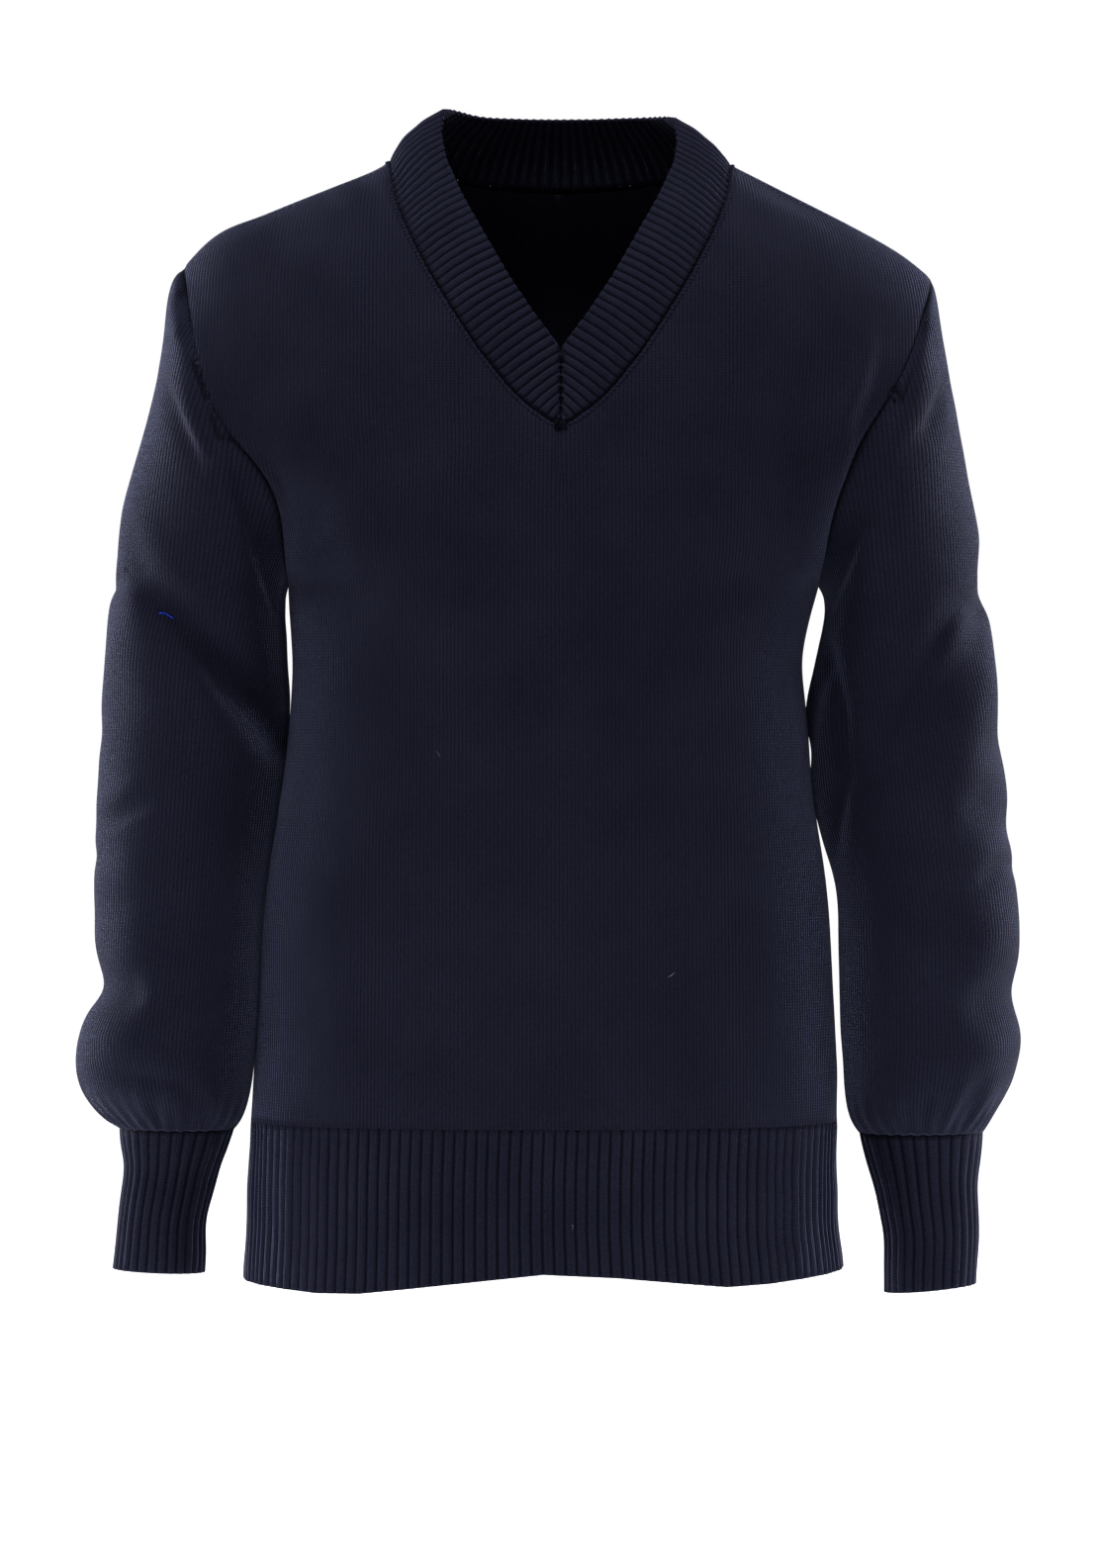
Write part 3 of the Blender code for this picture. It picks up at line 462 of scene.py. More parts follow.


# Folds, placed one by one and seen from the front, the back or the outer side. Each row runs from
# one place to another: across and up, across and up, bow, lift, width and how much wider it is
# on the left of its way. All are in mm.

foldRows = {
    "neckband": [("front", 1, -94, 1, -139, 0, -1.2, 1.3, 1)],
    "front_panel": [
        ("front", 155.5, -96, 143, -132.5, 1.5, 2.2, 6, 0.6),
        ("front", 143, -130, 142, -165, 0, 2.0, 6, 0.6),
        ("front", 142, -162, 138.5, -205, 0, 1.0, 5, 1),
        ("front", 160.5, -112, 150.5, -143, 0, -1.6, 5.5, 1),
        ("front", 1, -270, 1, -470, 2, -0.6, 12, 1),
        ("front", -151.5, -153, -136.5, -181, 2, -1.6, 8, 1),
        ("front", -132.5, -128, -133.5, -200, 2, 1.0, 9, 1),
        ("front", 91.5, -12, 143.5, -39, 3, -1.2, 5, 1),
        ("front", -106.5, -7.5, -86.5, -29, 1, -0.9, 5, 1),
        ("front", -113.5, -12.5, -90, -38, -2, 0.9, 6, 1),
        ("front", -117.5, -370, -110, -476, 4, 0.8, 14, 1),
        ("front", -57, -395, -52, -470, -3, -0.6, 15, 1),
        ("front", 58, -385, 64, -474, 3, -0.6, 14, 1),
        ("front", 102, -350, 113, -476, -4, 0.8, 13, 1),
    ],
    "back_panel": [
        ("back", -138, -176, -92, -252, 5, -3.4, 10, 1.3),
        ("back", -118, -186, -76, -262, 5, 2.0, 12, 1),
        ("back", 138, -172, 96, -240, -5, -3.1, 10, 1.3),
        ("back", 117, -184, 82, -270, -5, 2.0, 12, 1),
        ("back", -66, -30, -48, -92, 4, -1.4, 14, 1),
        ("back", 70, -34, 44, -88, -4, -1.4, 13, 1),
        ("back", -104, -395, -96, -478, 4, 1.5, 12, 1),
        ("back", -62, -380, -55, -476, -3, -1.4, 13, 1),
        ("back", 8, -350, 3, -476, 3, -1.0, 14, 1),
        ("back", 52, -400, 58, -478, 3, 1.5, 12, 1),
        ("back", 101, -372, 96, -476, -4, -1.4, 12, 1),
        ("back", -88, -452, 66, -460, 6, 1.2, 11, 1),
    ],
    "right_sleeve": [
        ("front", -196.5, -106, -175, -152.5, 0, 2.2, 3, 2.5),
        ("front", -199.5, -113, -178.5, -159, 0, -2.0, 5, 0.7),
        ("front", -210, -217, -164.5, -271, 2, -3.8, 6, 2.6),
        ("front", -170, -265, -137, -304, 0, -2.8, 6.5, 2.2),
        ("front", -214, -238, -168.5, -286, 2, 1.3, 9, 1),
        ("front", -166, -288, -143, -313, 0, 0.5, 7, 1),
        ("front", -218.5, -200, -187.5, -221, 0, 1.6, 12, 1),
        ("front", -232, -339, -206, -327, 1, -2.2, 4, 1.5),
        ("front", -231, -327, -206, -317, 1, 1.3, 6, 1),
        ("front", -232, -381, -198, -372, 2, -1.1, 8, 1),
        ("front", -237.5, -442, -192, -453, 3, 1.8, 6, 1),
        ("front", -227, -461, -186, -466, 2, -1.9, 5, 1),
        ("front", -207.5, -460, -208, -489, 0, 1.0, 3.5, 1),
        ("front", -200, -464, -199, -489, 0, -1.0, 3, 1),
        ("front", -193, -460, -191.5, -489, 0, 0.9, 3.5, 1),
        ("front", -180, -466, -180.5, -489, 0, -0.9, 4, 1),
        ("front", -170, -461, -171.5, -489, 0, 0.9, 4, 1),
        ("back", -206, -226, -156, -263, 3, -2.5, 6.5, 1.3),
        ("back", -209, -243, -163, -278, 3, 1.5, 9, 1),
        ("back", -229, -346, -199, -352, -2, -1.5, 6, 1),
        ("back", -230, -384, -186, -396, 3, 1.1, 9, 1),
        ("back", -233, -445, -183, -455, 3, 1.6, 7, 1),
        ("back", -224, -462, -179, -467, 2, -1.6, 5, 1),
        ("back", -206, -463, -205, -489, 0, 0.9, 3.5, 1),
        ("back", -194, -465, -193, -489, 0, -0.9, 3.5, 1),
        ("back", -181, -462, -180, -489, 0, 0.8, 4, 1),
        ("outer", -34, -214, 12, -224, 3, -1.8, 5, 1),
        ("outer", -26, -292, 22, -300, 4, -0.9, 9, 1),
        ("outer", -40, -352, 16, -346, -3, -1.2, 6, 1),
        ("outer", -6, -455, -8, -489, 0, -1.0, 4, 1),
        ("outer", -24, -457, -23, -489, 0, 0.9, 4, 1),
    ],
    "left_sleeve": [
        ("front", 191.5, -107, 178.5, -138, 0, 2.1, 7, 0.4),
        ("front", 194, -116, 182, -143, 0, -1.8, 5, 1),
        ("front", 207, -218, 175, -271, -2, -3.4, 12, 0.4),
        ("front", 178, -266, 160, -299, 0, -2.8, 10, 0.4),
        ("front", 214, -236, 187, -282, -2, 1.2, 9, 1),
        ("front", 195, -218, 169, -261, -2, 1.0, 9, 1),
        ("front", 133, -240, 144, -308, 2, -2.6, 3.6, 1),
        ("front", 143, -243, 153, -306, 2, 0.3, 8, 1),
        ("front", 145, -311, 139, -352, -2, -1.9, 3.4, 1),
        ("front", 228, -353, 209, -367, -1, -1.8, 5, 1),
        ("front", 231, -381, 205, -396, 2, 1.3, 8, 1),
        ("front", 228, -412, 203, -423, 2, -1.3, 7, 1),
        ("front", 227, -449, 183, -462, -3, 1.2, 8, 1),
        ("front", 218, -462, 205, -492, 0, 1.1, 3.5, 1),
        ("front", 209, -463, 198, -491, 0, -1.1, 3.5, 1),
        ("front", 201, -463, 190, -491, 0, 1.0, 3.5, 1),
        ("front", 183, -466, 177.5, -491, 0, -0.9, 4, 1),
        ("front", 168, -461, 165, -490, 0, 0.8, 4, 1),
        ("back", 204, -218, 152, -258, -3, -2.4, 6.5, 1.2),
        ("back", 207, -236, 160, -274, -3, 1.4, 9, 1),
        ("back", 226, -352, 198, -362, 2, -1.5, 6, 1),
        ("back", 229, -392, 180, -404, -3, 1.1, 9, 1),
        ("back", 225, -450, 176, -459, -3, 1.4, 7, 1),
        ("back", 204, -464, 200, -491, 0, -0.9, 3.5, 1),
        ("back", 191, -463, 189, -491, 0, 0.9, 3.5, 1),
        ("back", 177, -465, 175, -491, 0, -0.8, 4, 1),
        ("outer", -36, -230, 14, -216, -3, -1.6, 5, 1),
        ("outer", -30, -300, 20, -290, 3, -0.9, 9, 1),
        ("outer", -38, -358, 14, -366, 3, -1.3, 6, 1),
        ("outer", -10, -458, -8, -491, 0, 1.0, 4, 1),
        ("outer", -26, -456, -25, -491, 0, -0.9, 4, 1),
    ],
}
foldViews = {"front": (0, -1, 0), "back": (0, 1, 0), "outer": (1, 0, 0)}
foldFade = {
    "facing": (-0.1, 0.35),  # a fold fades where the cloth turns away from its view
    "ends": 0.08,  # share of its length past which an end has died away
    "soft": 0.8,
    "seam": (1 * mm, 8 * mm),  # and it dies away towards a seam
}


def smoothStep(low, high, value):
    share = np.clip((value - low) / (high - low), 0.0, 1.0)
    return share * share * (3 - 2 * share)


def foldLift(name, points, normals):
    lift = np.zeros(len(points))
    x, y, z = (points / mm).T
    side = -1.0 if name.startswith("right") else 1.0
    for view, a1, s1, a2, s2, bow, height, width, wider in foldRows.get(name, []):
        seenFrom = np.array(foldViews[view]) * (side if view == "outer" else 1.0)
        across = y if view == "outer" else x
        runA, runS = a2 - a1, s2 - s1
        length = math.hypot(runA, runS)
        share = ((across - a1) * runA + (z - s1) * runS) / length**2
        inside = np.clip(share, 0.0, 1.0)
        bent = bow * np.sin(inside * math.pi)
        leftA, leftS = -runS / length, runA / length
        offA = across - a1 - inside * runA - bent * leftA
        offS = z - s1 - inside * runS - bent * leftS
        reach = np.where(offA * leftA + offS * leftS > 0, width * wider, width)
        ends = foldFade["ends"]
        fade = np.sin((inside * (1 - 2 * ends) + ends) * math.pi) ** foldFade["soft"]
        shown = smoothStep(*foldFade["facing"], normals @ seenFrom)
        lift += height * fade * shown * np.exp(-(np.hypot(offA, offS) / reach) ** 2)
    return lift * mm


def swell(points, size, seed):
    # slow unevenness of worn cloth, from -1 to 1
    offset = Vector((seed * 17.3, seed * 5.1, seed * 9.7))
    return np.array([noise.noise(Vector(point) / size + offset) for point in points])


gatherSettings = {  # small gathers above each cuff, closer together on the outer side
    "count": 27,
    "uneven": 3,
    "depth": 0.55 * mm,
    "heights": (-0.487, -0.466),
}
swellSettings = {
    "slow": 0.9 * mm,
    "slowSize": 0.07,
    "fine": 0.25 * mm,
    "fineSize": 0.018,
    "seam": 14 * mm,  # it grows over this way from a seam
}


def gathers(angle, height):
    turn = np.radians(angle)
    wave = np.cos(turn * gatherSettings["count"] + gatherSettings["uneven"] * np.sin(turn))
    return gatherSettings["depth"] * (1.0 - smoothStep(*gatherSettings["heights"], height)) * wave


def seamShadow(name, points, distance, upper):
    # 1 at the bottom of a seam, and on the mitre
    shade = 1.0 - smoothStep(*seamSettings["shade"], distance)
    shade *= seamSettings["ribShade"] + (1 - seamSettings["ribShade"]) * upper
    if name == "neckband":
        line = np.abs(points[:, 0] - mitreSettings["across"])
        front = points[:, 1] < mitreSettings["before"]
        shade = np.maximum(shade, front * (1.0 - smoothStep(*mitreSettings["line"], line)))
    return shade


for number, (name, piece) in enumerate(pieces.items()):
    mesh = piece.data
    points = pointsOf(mesh)
    normals = normalsOf(mesh)
    distance = seamDistance[name]
    away = np.clip(distance / swellSettings["seam"], 0.0, 1.0)
    folds = foldLift(name, points, normals)
    lift = swell(points, swellSettings["fineSize"], number) * swellSettings["fine"]
    if name in plainPieces:
        lift += swell(points, swellSettings["slowSize"], number) * swellSettings["slow"]
        folds *= smoothStep(*foldFade["seam"], distance)
        if "sleeve" in name:
            angle, height = sleevePlace(name, points)
            folds = folds + gathers(angle, points[:, 2])
            wales = knitSettings["sleeveWales"]
            setKnitMap(piece, angle / 360 * wales, height * mm / knitSettings["course"], wales)
        else:
            across, height = bodyPlace(points)
            across, height = across * mm, height * mm
            setKnitMap(piece, across / knitSettings["wale"], height / knitSettings["course"])
        dip = seamSettings["plainDip"]
    else:
        rib = np.empty(len(points), np.float32)
        mesh.attributes["rib"].data.foreach_get("value", rib)
        setKnitMap(piece, rib, distance / knitSettings["course"])
        dip = seamSettings["ribDip"]
    upper = smoothStep(*seamSettings["sewn"], points[:, 2])
    shade = seamShadow(name, points, distance, upper)
    seamShade = mesh.attributes.new("seam", "FLOAT", "POINT")
    seamShade.data.foreach_set("value", shade.astype(np.float32))
    rolled = np.maximum(1.0 - distance / seamSettings["roll"], 0.0) ** 2 * dip
    rolled *= seamSettings["ribRoll"] + (1 - seamSettings["ribRoll"]) * upper
    setPoints(mesh, points + normals * (lift * away + folds - rolled)[:, None])
joinSeams()
print("cloth shaped")


# Finishes

finishSettings = {
    "navy": (0.0034, 0.0036, 0.0078, 1.0),
    # painted shade: the dark colour that grooves, rib furrows, seams and the mitre line are
    # darkened towards
    "furrow": (0.0014, 0.0015, 0.0032, 1.0),
    "worn": (0.0062, 0.0065, 0.0128, 1.0),
    "sheen": 0.10,
    "sheenTint": (0.52, 0.58, 1.0, 1.0),
    "sheenRoughness": 0.2,
    "shine": 0.015,
    "roughness": 0.9,
    "bump": 0.45 * mm,
    "fuzz": 0.5,  # height of loose fibre beside that of a stitch
    # share of painted shade in the grooves between wales
    "grooveShade": 0.6,
    "hollow": 0.45,  # a rib's furrow, darkened with painted shade, starts below this share of its height
    "seamBare": 0.9,  # share of the sheen that a seam's shadow takes
}
woolSettings = {
    "patches": (28.0, 5.0, 0.5),  # scale, detail and share of the uneven dye
    "fibre": (900.0, 3.0, 0.6),
    "range": (0.35, 0.75),
}
stitchSettings = {"groove": 3.0, "slant": 0.5, "depth": 0.35}


def newGroup(name, ins, outs):
    group = bpy.data.node_groups.new(name, "ShaderNodeTree")
    for label, kind, value in ins:
        socket = group.interface.new_socket(label, in_out="INPUT", socket_type=kind)
        socket.default_value = value
    for label, kind in outs:
        group.interface.new_socket(label, in_out="OUTPUT", socket_type=kind)
    return group, group.nodes.new("NodeGroupInput"), group.nodes.new("NodeGroupOutput")


def mathNode(tree, operation, *inputs):
    node = tree.nodes.new("ShaderNodeMath")
    node.operation = operation
    for slot, value in enumerate(inputs):
        if isinstance(value, (int, float)):
            node.inputs[slot].default_value = value
        else:
            tree.links.new(value, node.inputs[slot])
    return node.outputs[0]


def stitchGroup():
    # leg is 0 in the middle of a wale and 1 in the groove beside it
    group, given, result = newGroup(
        "stitches",
        [("Leg", "NodeSocketFloat", 0.0), ("Course", "NodeSocketFloat", 0.0),
         ("Depth", "NodeSocketFloat", stitchSettings["depth"])],
        [("Height", "NodeSocketFloat"), ("Groove", "NodeSocketFloat")],
    )
    leg, course, depth = (given.outputs[name] for name in ("Leg", "Course", "Depth"))
    groove = mathNode(group, "POWER", leg, stitchSettings["groove"])
    slant = mathNode(group, "MULTIPLY", leg, stitchSettings["slant"])
    slanted = mathNode(group, "ADD", course, slant)
    wave = mathNode(group, "COSINE", mathNode(group, "MULTIPLY", slanted, 2 * math.pi))
    wave = mathNode(group, "MULTIPLY", mathNode(group, "ADD", wave, 1.0), 0.5)
    cut = mathNode(group, "MULTIPLY", mathNode(group, "SUBTRACT", 1.0, wave), depth)
    height = mathNode(group, "MULTIPLY", mathNode(group, "SUBTRACT", 1.0, groove),
                      mathNode(group, "SUBTRACT", 1.0, cut))
    group.links.new(height, result.inputs["Height"])
    group.links.new(groove, result.inputs["Groove"])
    return group


def woolGroup():
    # uneven dye and a dusting of loose fibre
    group, given, result = newGroup(
        "woolTone",
        [("Base", "NodeSocketColor", (0.01, 0.01, 0.02, 1)),
         ("Worn", "NodeSocketColor", (0.02, 0.02, 0.04, 1))],
        [("Color", "NodeSocketColor"), ("Fibre", "NodeSocketFloat")],
    )
    place = group.nodes.new("ShaderNodeTexCoord").outputs["Object"]
    noises = []
    for scale, detail, _ in (woolSettings["patches"], woolSettings["fibre"]):
        made = group.nodes.new("ShaderNodeTexNoise")
        made.inputs["Scale"].default_value = scale
        made.inputs["Detail"].default_value = detail
        group.links.new(place, made.inputs["Vector"])
        noises.append(made.outputs["Fac"])
    broad, fine = noises
    both = mathNode(group, "MULTIPLY", broad, woolSettings["patches"][2])
    both = mathNode(group, "MULTIPLY_ADD", fine, woolSettings["fibre"][2], both)
    shade = group.nodes.new("ShaderNodeMapRange")
    low, high = woolSettings["range"]
    shade.inputs["From Min"].default_value = low
    shade.inputs["From Max"].default_value = high
    group.links.new(both, shade.inputs["Value"])
    mix = group.nodes.new("ShaderNodeMix")
    mix.data_type = "RGBA"
    group.links.new(shade.outputs["Result"], mix.inputs["Factor"])
    group.links.new(given.outputs["Base"], mix.inputs["A"])
    group.links.new(given.outputs["Worn"], mix.inputs["B"])
    group.links.new(mix.outputs["Result"], result.inputs["Color"])
    group.links.new(fine, result.inputs["Fibre"])
    return group


stitches = stitchGroup()
woolTone = woolGroup()


def knitMaterial(name, ribbed):
    material = bpy.data.materials.new(name)
    material.use_nodes = True
    tree = material.node_tree
    shader = tree.nodes["Principled BSDF"]
    shader.inputs["Roughness"].default_value = finishSettings["roughness"]
    shader.inputs["Specular IOR Level"].default_value = finishSettings["shine"]
    shader.inputs["Sheen Roughness"].default_value = finishSettings["sheenRoughness"]
    shader.inputs["Sheen Tint"].default_value = finishSettings["sheenTint"]
    knit = tree.nodes.new("ShaderNodeUVMap")
    knit.uv_map = "knit"
    split = tree.nodes.new("ShaderNodeSeparateXYZ")
    tree.links.new(knit.outputs["UV"], split.inputs["Vector"])
    across = split.outputs["X"]
    if not ribbed:
        across = mathNode(tree, "FRACT", across)
    middle = mathNode(tree, "ABSOLUTE", mathNode(tree, "SUBTRACT", across, 0.5))
    leg = mathNode(tree, "MULTIPLY", middle, 2.0)
    stitch = tree.nodes.new("ShaderNodeGroup")
    stitch.node_tree = stitches
    tree.links.new(leg, stitch.inputs["Leg"])
    tree.links.new(split.outputs["Y"], stitch.inputs["Course"])
    wool = tree.nodes.new("ShaderNodeGroup")
    wool.node_tree = woolTone
    wool.inputs["Base"].default_value = finishSettings["navy"]
    wool.inputs["Worn"].default_value = finishSettings["worn"]
    if ribbed:
        # painted shade: each rib's furrow is darkened towards the furrow colour
        hollow = tree.nodes.new("ShaderNodeMapRange")
        hollow.interpolation_type = "SMOOTHSTEP"
        tree.links.new(across, hollow.inputs["Value"])
        hollow.inputs["From Min"].default_value = finishSettings["hollow"]
        hollow.inputs["From Max"].default_value = 0.0
        mask = hollow.outputs["Result"]
    else:
        # painted shade: the grooves between wales are darkened towards the furrow colour
        mask = mathNode(tree, "MULTIPLY", stitch.outputs["Groove"], finishSettings["grooveShade"])
    shade = tree.nodes.new("ShaderNodeMix")
    shade.data_type = "RGBA"
    tree.links.new(mask, shade.inputs["Factor"])
    tree.links.new(wool.outputs["Color"], shade.inputs["A"])
    shade.inputs["B"].default_value = finishSettings["furrow"]
    # painted shadow: along seams and the mitre line the colour is darkened and the sheen taken
    # away
    seam = tree.nodes.new("ShaderNodeAttribute")
    seam.attribute_name = "seam"
    sunk = tree.nodes.new("ShaderNodeMix")
    sunk.data_type = "RGBA"
    tree.links.new(seam.outputs["Fac"], sunk.inputs["Factor"])
    tree.links.new(shade.outputs["Result"], sunk.inputs["A"])
    sunk.inputs["B"].default_value = finishSettings["furrow"]
    tree.links.new(sunk.outputs["Result"], shader.inputs["Base Color"])
    taken = mathNode(tree, "MULTIPLY", seam.outputs["Fac"], finishSettings["seamBare"])
    bare = mathNode(tree, "SUBTRACT", 1.0, taken)
    sheen = mathNode(tree, "MULTIPLY", bare, finishSettings["sheen"])
    tree.links.new(sheen, shader.inputs["Sheen Weight"])
    relief = mathNode(tree, "MULTIPLY_ADD", wool.outputs["Fibre"], finishSettings["fuzz"],
                      stitch.outputs["Height"])
    bump = tree.nodes.new("ShaderNodeBump")
    bump.inputs["Distance"].default_value = finishSettings["bump"]
    bump.inputs["Strength"].default_value = 1.0
    tree.links.new(relief, bump.inputs["Height"])
    tree.links.new(bump.outputs["Normal"], shader.inputs["Normal"])
    return material


plainKnit = knitMaterial("plain_knit_wool", False)
ribKnit = knitMaterial("rib_knit_wool", True)


# A chain of loops links the neckband to the body, just outside its edge

chainSettings = {
    "step": 2.5 * mm,
    "half": (1.45 * mm, 0.75 * mm, 0.6 * mm),  # half length, width and height of a loop
    "aside": 1.5 * mm,
    "rise": 0.15 * mm,
    "tilt": 0.3,
    "middle": (0.0, -0.040, 0.020),  # a place inside the neck
    "touch": 0.6 * mm,  # the panels' edges lie this near the band's along the neck
    "smooth": 5,
    "faces": (8, 6),  # round a loop and along it
}


def surfaceOf(names):
    # one tree of the named pieces' faces
    corners, faces = [], []
    for name in names:
        mesh = pieces[name].data
        first = len(corners)
        corners += [vert.co.copy() for vert in mesh.vertices]
        faces += [[first + index for index in face.vertices] for face in mesh.polygons]
    return BVHTree.FromPolygons(corners, faces)


def neckSeam():
    # points along the neck seam, evenly spaced, all the way round
    band = treeOf(rimSamples(pieces["neckband"].data))
    found = []
    for name in ("front_panel", "back_panel"):
        points = pointsOf(pieces[name].data)
        rim = np.unique(rimEdges(pieces[name].data))
        found += [points[number] for number in rim
                  if band.find(points[number])[2] < chainSettings["touch"]]
    found = np.array(found)
    middle = np.array(chainSettings["middle"])
    turn = np.arctan2(found[:, 0] - middle[0], middle[1] - found[:, 1])
    found = found[np.argsort(turn)]
    for _ in range(chainSettings["smooth"]):
        found = (np.roll(found, 1, axis=0) + 2 * found + np.roll(found, -1, axis=0)) / 4
    closed = np.vstack([found, found[:1]])
    along = np.concatenate([[0.0], np.cumsum(np.linalg.norm(np.diff(closed, axis=0), axis=1))])
    count = round(along[-1] / chainSettings["step"])
    wanted = np.linspace(0.0, along[-1], count, endpoint=False)
    return np.stack([np.interp(wanted, along, closed[:, axis]) for axis in range(3)], axis=1)


def linkingChain():
    skin = surfaceOf(["front_panel", "back_panel"])
    path = neckSeam()
    middle = Vector(chainSettings["middle"])
    halfLong, halfWide, halfHigh = chainSettings["half"]
    around, high = chainSettings["faces"]
    loops = bmesh.new()
    for number, point in enumerate(path):
        place = Vector(point)
        ahead = Vector(path[(number + 1) % len(path)]) - Vector(path[number - 1])
        normal = skin.find_nearest(place)[1]
        aside = normal.cross(ahead).normalized()
        if aside.dot(place - middle) < 0:
            aside.negate()
        place, normal, _, _ = skin.find_nearest(place + aside * chainSettings["aside"])
        ahead = (ahead - normal * ahead.dot(normal)).normalized()
        ahead = (ahead + aside * chainSettings["tilt"]).normalized()
        across = normal.cross(ahead)
        made = bmesh.ops.create_uvsphere(loops, u_segments=around, v_segments=high, radius=1.0)
        for vert in made["verts"]:
            shape = vert.co.copy()
            vert.co = place + normal * (chainSettings["rise"] + shape.z * halfHigh)
            vert.co += ahead * shape.x * halfLong + across * shape.y * halfWide
    mesh = bpy.data.meshes.new("linking_chain")
    loops.to_mesh(mesh)
    loops.free()
    mesh.shade_smooth()
    chain = bpy.data.objects.new("linking_chain", mesh)
    scene.collection.objects.link(chain)
    return chain


# Loose fibres caught on the knit: name, piece, places seen from the front in mm, thickness, colour

fibres = [
    ("blue_thread", "right_sleeve",
     [(-199.5, -231.2), (-197.2, -231.0), (-195.0, -232.0), (-192.4, -233.8)],
     0.32, (0.006, 0.03, 0.42, 1)),
    ("pale_fibre", "front_panel", [(53.4, -411), (55.2, -410.2), (56.8, -408.8)],
     0.14, (0.10, 0.11, 0.15, 1)),
    ("short_fibre", "front_welt", [(6.2, -532.0), (6.8, -533.2), (6.4, -534.4)],
     0.14, (0.10, 0.11, 0.15, 1)),
    ("cuff_fibre", "front_panel", [(-60.4, -300), (-59.0, -301.6), (-58.8, -303)],
     0.10, (0.06, 0.065, 0.10, 1)),
]
yarnSettings = {"roughness": 0.85, "worn": 1.7, "bump": 0.2 * mm}
fibreSettings = {
    "from": -1.0,  # a fibre's place is looked for from here
    "lift": 0.8,  # share of its thickness that it stands off the knit
}


def yarnMaterial(name, color):
    material = bpy.data.materials.new(name)
    material.use_nodes = True
    tree = material.node_tree
    shader = tree.nodes["Principled BSDF"]
    shader.inputs["Roughness"].default_value = yarnSettings["roughness"]
    shader.inputs["Specular IOR Level"].default_value = finishSettings["shine"]
    shader.inputs["Sheen Weight"].default_value = finishSettings["sheen"]
    shader.inputs["Sheen Roughness"].default_value = finishSettings["sheenRoughness"]
    shader.inputs["Sheen Tint"].default_value = finishSettings["sheenTint"]
    wool = tree.nodes.new("ShaderNodeGroup")
    wool.node_tree = woolTone
    wool.inputs["Base"].default_value = color
    worn = [value * yarnSettings["worn"] for value in color[:3]]
    wool.inputs["Worn"].default_value = worn + [1.0]
    tree.links.new(wool.outputs["Color"], shader.inputs["Base Color"])
    bump = tree.nodes.new("ShaderNodeBump")
    bump.inputs["Distance"].default_value = yarnSettings["bump"]
    tree.links.new(wool.outputs["Fibre"], bump.inputs["Height"])
    tree.links.new(bump.outputs["Normal"], shader.inputs["Normal"])
    return material


def fibreOn(name, pieceName, places, thick):
    skin = surfaceOf([pieceName])
    curve = bpy.data.curves.new(name, "CURVE")
    curve.dimensions = "3D"
    curve.bevel_depth = thick / 2 * mm
    curve.bevel_resolution = 1
    curve.use_fill_caps = True
    spline = curve.splines.new("BEZIER")
    spline.bezier_points.add(len(places) - 1)
    for point, (x, z) in zip(spline.bezier_points, places):
        start = Vector((x * mm, fibreSettings["from"], z * mm))
        hit = skin.ray_cast(start, Vector((0, 1, 0)))[0]
        point.co = hit - Vector((0, thick * fibreSettings["lift"] * mm, 0))
        point.handle_left_type = point.handle_right_type = "AUTO"
    drawn = bpy.data.objects.new(name + "_curve", curve)
    scene.collection.objects.link(drawn)
    mesh = bakedMesh(drawn)
    bpy.data.objects.remove(drawn)
    mesh.name = name
    mesh.shade_smooth()
    fibre = bpy.data.objects.new(name, mesh)
    scene.collection.objects.link(fibre)
    return fibre


chain = linkingChain()
chain.data.materials.append(yarnMaterial("linking_yarn", finishSettings["navy"]))
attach(chain, "root")
for name, pieceName, places, thick, color in fibres:
    fibre = fibreOn(name, pieceName, places, thick)
    fibre.data.materials.append(yarnMaterial(name + "_yarn", color))
    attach(fibre, "root")
print("chain and fibres")


# Thickness, finish and declarations

clothThickness = {"plain": 1.8 * mm, "rib": 2.0 * mm}

for name, piece in pieces.items():
    plain = name in plainPieces
    wall = piece.modifiers.new("thickness", "SOLIDIFY")
    wall.thickness = clothThickness["plain" if plain else "rib"]
    wall.offset = -1.0
    wall.use_even_offset = False
    piece.data.materials.clear()
    piece.data.materials.append(plainKnit if plain else ribKnit)
    piece.data.shade_smooth()
    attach(piece, "root")
    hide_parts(name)


# Floor, light and camera

stageSettings = {
    "floorHeight": -0.86,
    "floorSize": 60.0,
    "floorColor": (0.85, 0.85, 0.85, 1.0),
    "floorRoughness": 0.9,
    "white": (1.0, 1.0, 1.0, 1.0),
    "surround": 0.10,
    "floorGlow": 1.0,
    "cameraPlace": (-0.005, -3.0, -0.31625),
    "frameHeight": 0.7925,
    "sensor": 24.0,
}
lights = [  # name, place, aim, size, power
    ("sideRight", (-2.3, -0.9, 0.2), (-0.1, 0.0, -0.3), 1.6, 7),
    ("sideLeft", (2.3, -0.9, 0.2), (0.1, 0.0, -0.3), 1.6, 7),
    ("top", (-0.2, -0.5, 2.1), (0.0, 0.0, -0.2), 1.5, 165),
    ("front", (-0.3, -3.3, -0.3), (0.0, 0.0, -0.4), 1.5, 7),
    ("lowRight", (-0.62, -0.3, -0.70), (-0.19, -0.02, -0.53), 0.3, 4.0),
    ("lowLeft", (0.62, -0.3, -0.70), (0.19, -0.02, -0.53), 0.3, 4.0),
    ("rimRight", (-2.3, 1.2, 0.1), (-0.2, 0.0, -0.3), 1.5, 280),
    ("rimLeft", (2.3, 1.2, 0.1), (0.2, 0.0, -0.3), 1.5, 250),
]

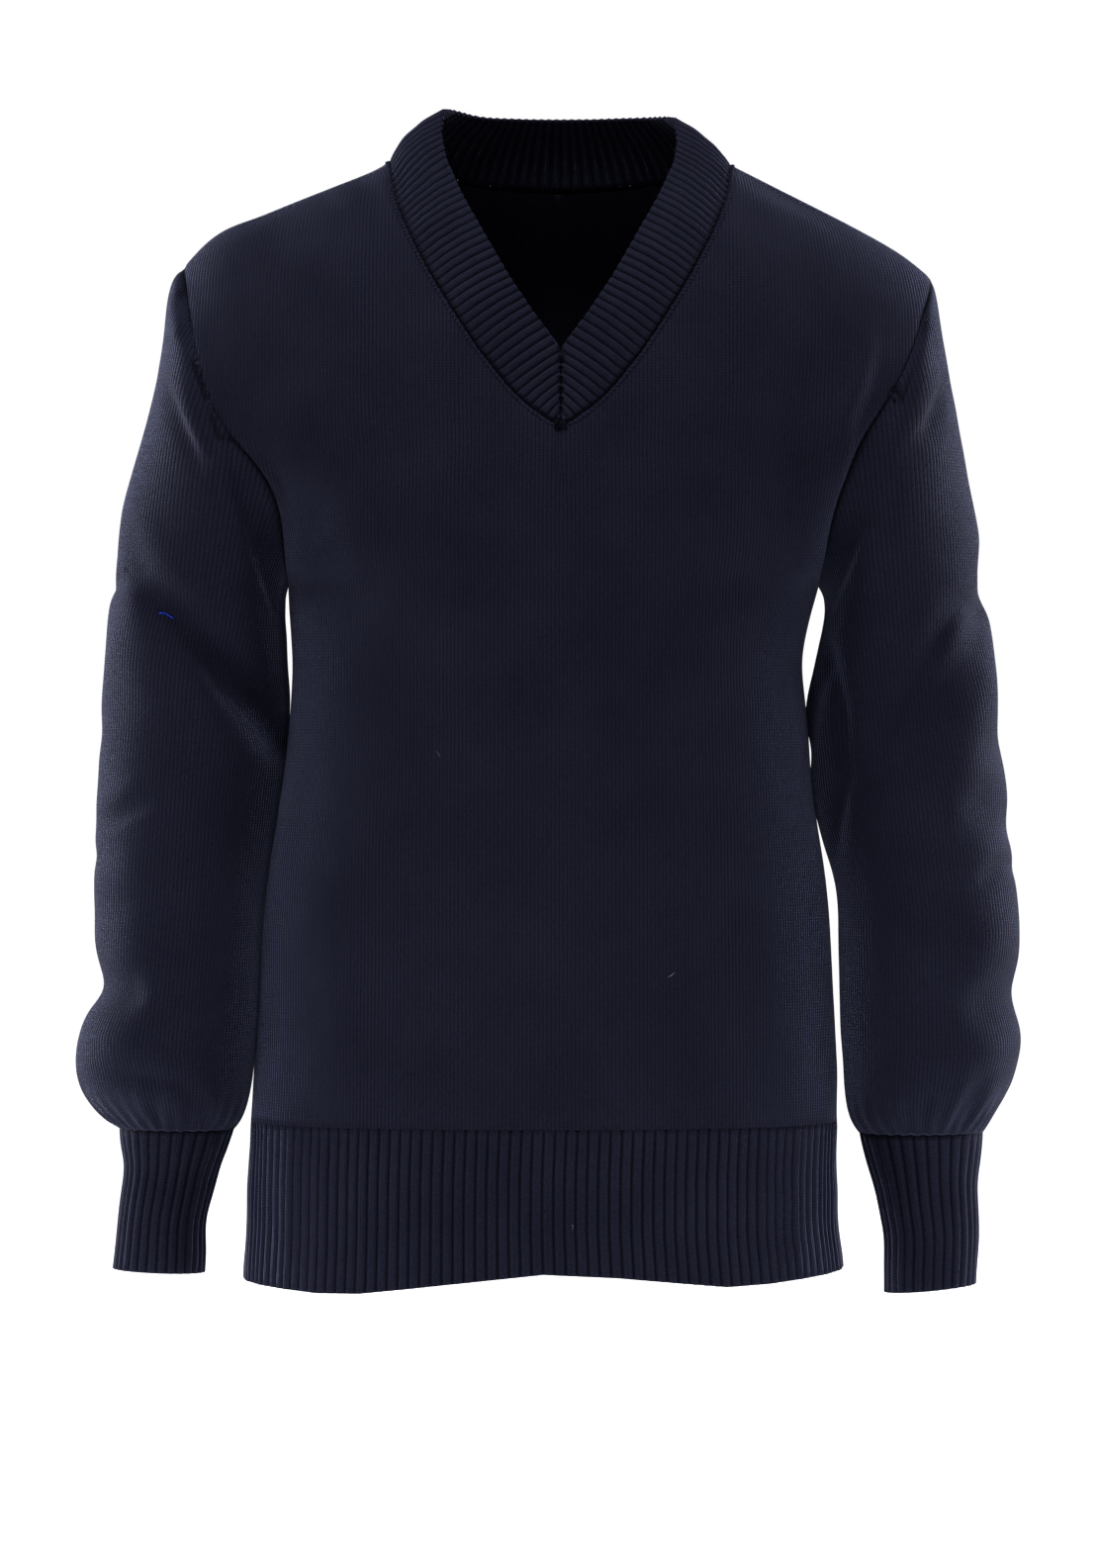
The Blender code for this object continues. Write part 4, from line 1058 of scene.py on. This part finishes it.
bm = bmesh.new()
bmesh.ops.create_grid(bm, x_segments=1, y_segments=1, size=stageSettings["floorSize"] / 2)
bmesh.ops.translate(bm, verts=bm.verts[:], vec=(0, 0, stageSettings["floorHeight"]))
floorMesh = bpy.data.meshes.new("floor")
bm.to_mesh(floorMesh)
bm.free()
floor = bpy.data.objects.new("floor", floorMesh)
scene.collection.objects.link(floor)
paleFloor = bpy.data.materials.new("pale_floor")
paleFloor.use_nodes = True
floorShader = paleFloor.node_tree.nodes["Principled BSDF"]
floorShader.inputs["Base Color"].default_value = stageSettings["floorColor"]
floorShader.inputs["Roughness"].default_value = stageSettings["floorRoughness"]
floorShader.inputs["Emission Color"].default_value = stageSettings["white"]
seenFloor = paleFloor.node_tree.nodes.new("ShaderNodeLightPath").outputs["Is Camera Ray"]
glow = mathNode(paleFloor.node_tree, "MULTIPLY", seenFloor, stageSettings["floorGlow"])
paleFloor.node_tree.links.new(glow, floorShader.inputs["Emission Strength"])
floorMesh.materials.append(paleFloor)

world = bpy.data.worlds.new("pale_room")
scene.world = world
world.use_nodes = True
tree = world.node_tree
room = tree.nodes["Background"]
room.inputs["Color"].default_value = stageSettings["white"]
room.inputs["Strength"].default_value = stageSettings["surround"]
seen = tree.nodes.new("ShaderNodeBackground")
seen.inputs["Color"].default_value = stageSettings["white"]
seen.inputs["Strength"].default_value = 1.0
path = tree.nodes.new("ShaderNodeLightPath")
choose = tree.nodes.new("ShaderNodeMixShader")
tree.links.new(path.outputs["Is Camera Ray"], choose.inputs["Fac"])
tree.links.new(room.outputs[0], choose.inputs[1])
tree.links.new(seen.outputs[0], choose.inputs[2])
tree.links.new(choose.outputs[0], tree.nodes["World Output"].inputs["Surface"])

for name, place, aim, size, power in lights:
    lamp = bpy.data.lights.new(name, "AREA")
    lamp.shape = "DISK"
    lamp.size = size
    lamp.energy = power
    holder = bpy.data.objects.new(name, lamp)
    holder.location = place
    holder.rotation_euler = (Vector(aim) - Vector(place)).to_track_quat("-Z", "Y").to_euler()
    holder.visible_camera = False
    scene.collection.objects.link(holder)

lens = bpy.data.cameras.new("camera")
lens.sensor_fit = "VERTICAL"
lens.sensor_height = stageSettings["sensor"]
away = -stageSettings["cameraPlace"][1]
lens.lens = stageSettings["sensor"] * away / stageSettings["frameHeight"]
camera = bpy.data.objects.new("camera", lens)
camera.location = stageSettings["cameraPlace"]
camera.rotation_euler = (math.pi / 2, 0, 0)
scene.collection.objects.link(camera)
scene.camera = camera
scene.view_settings.view_transform = "Standard"
print("stage set")
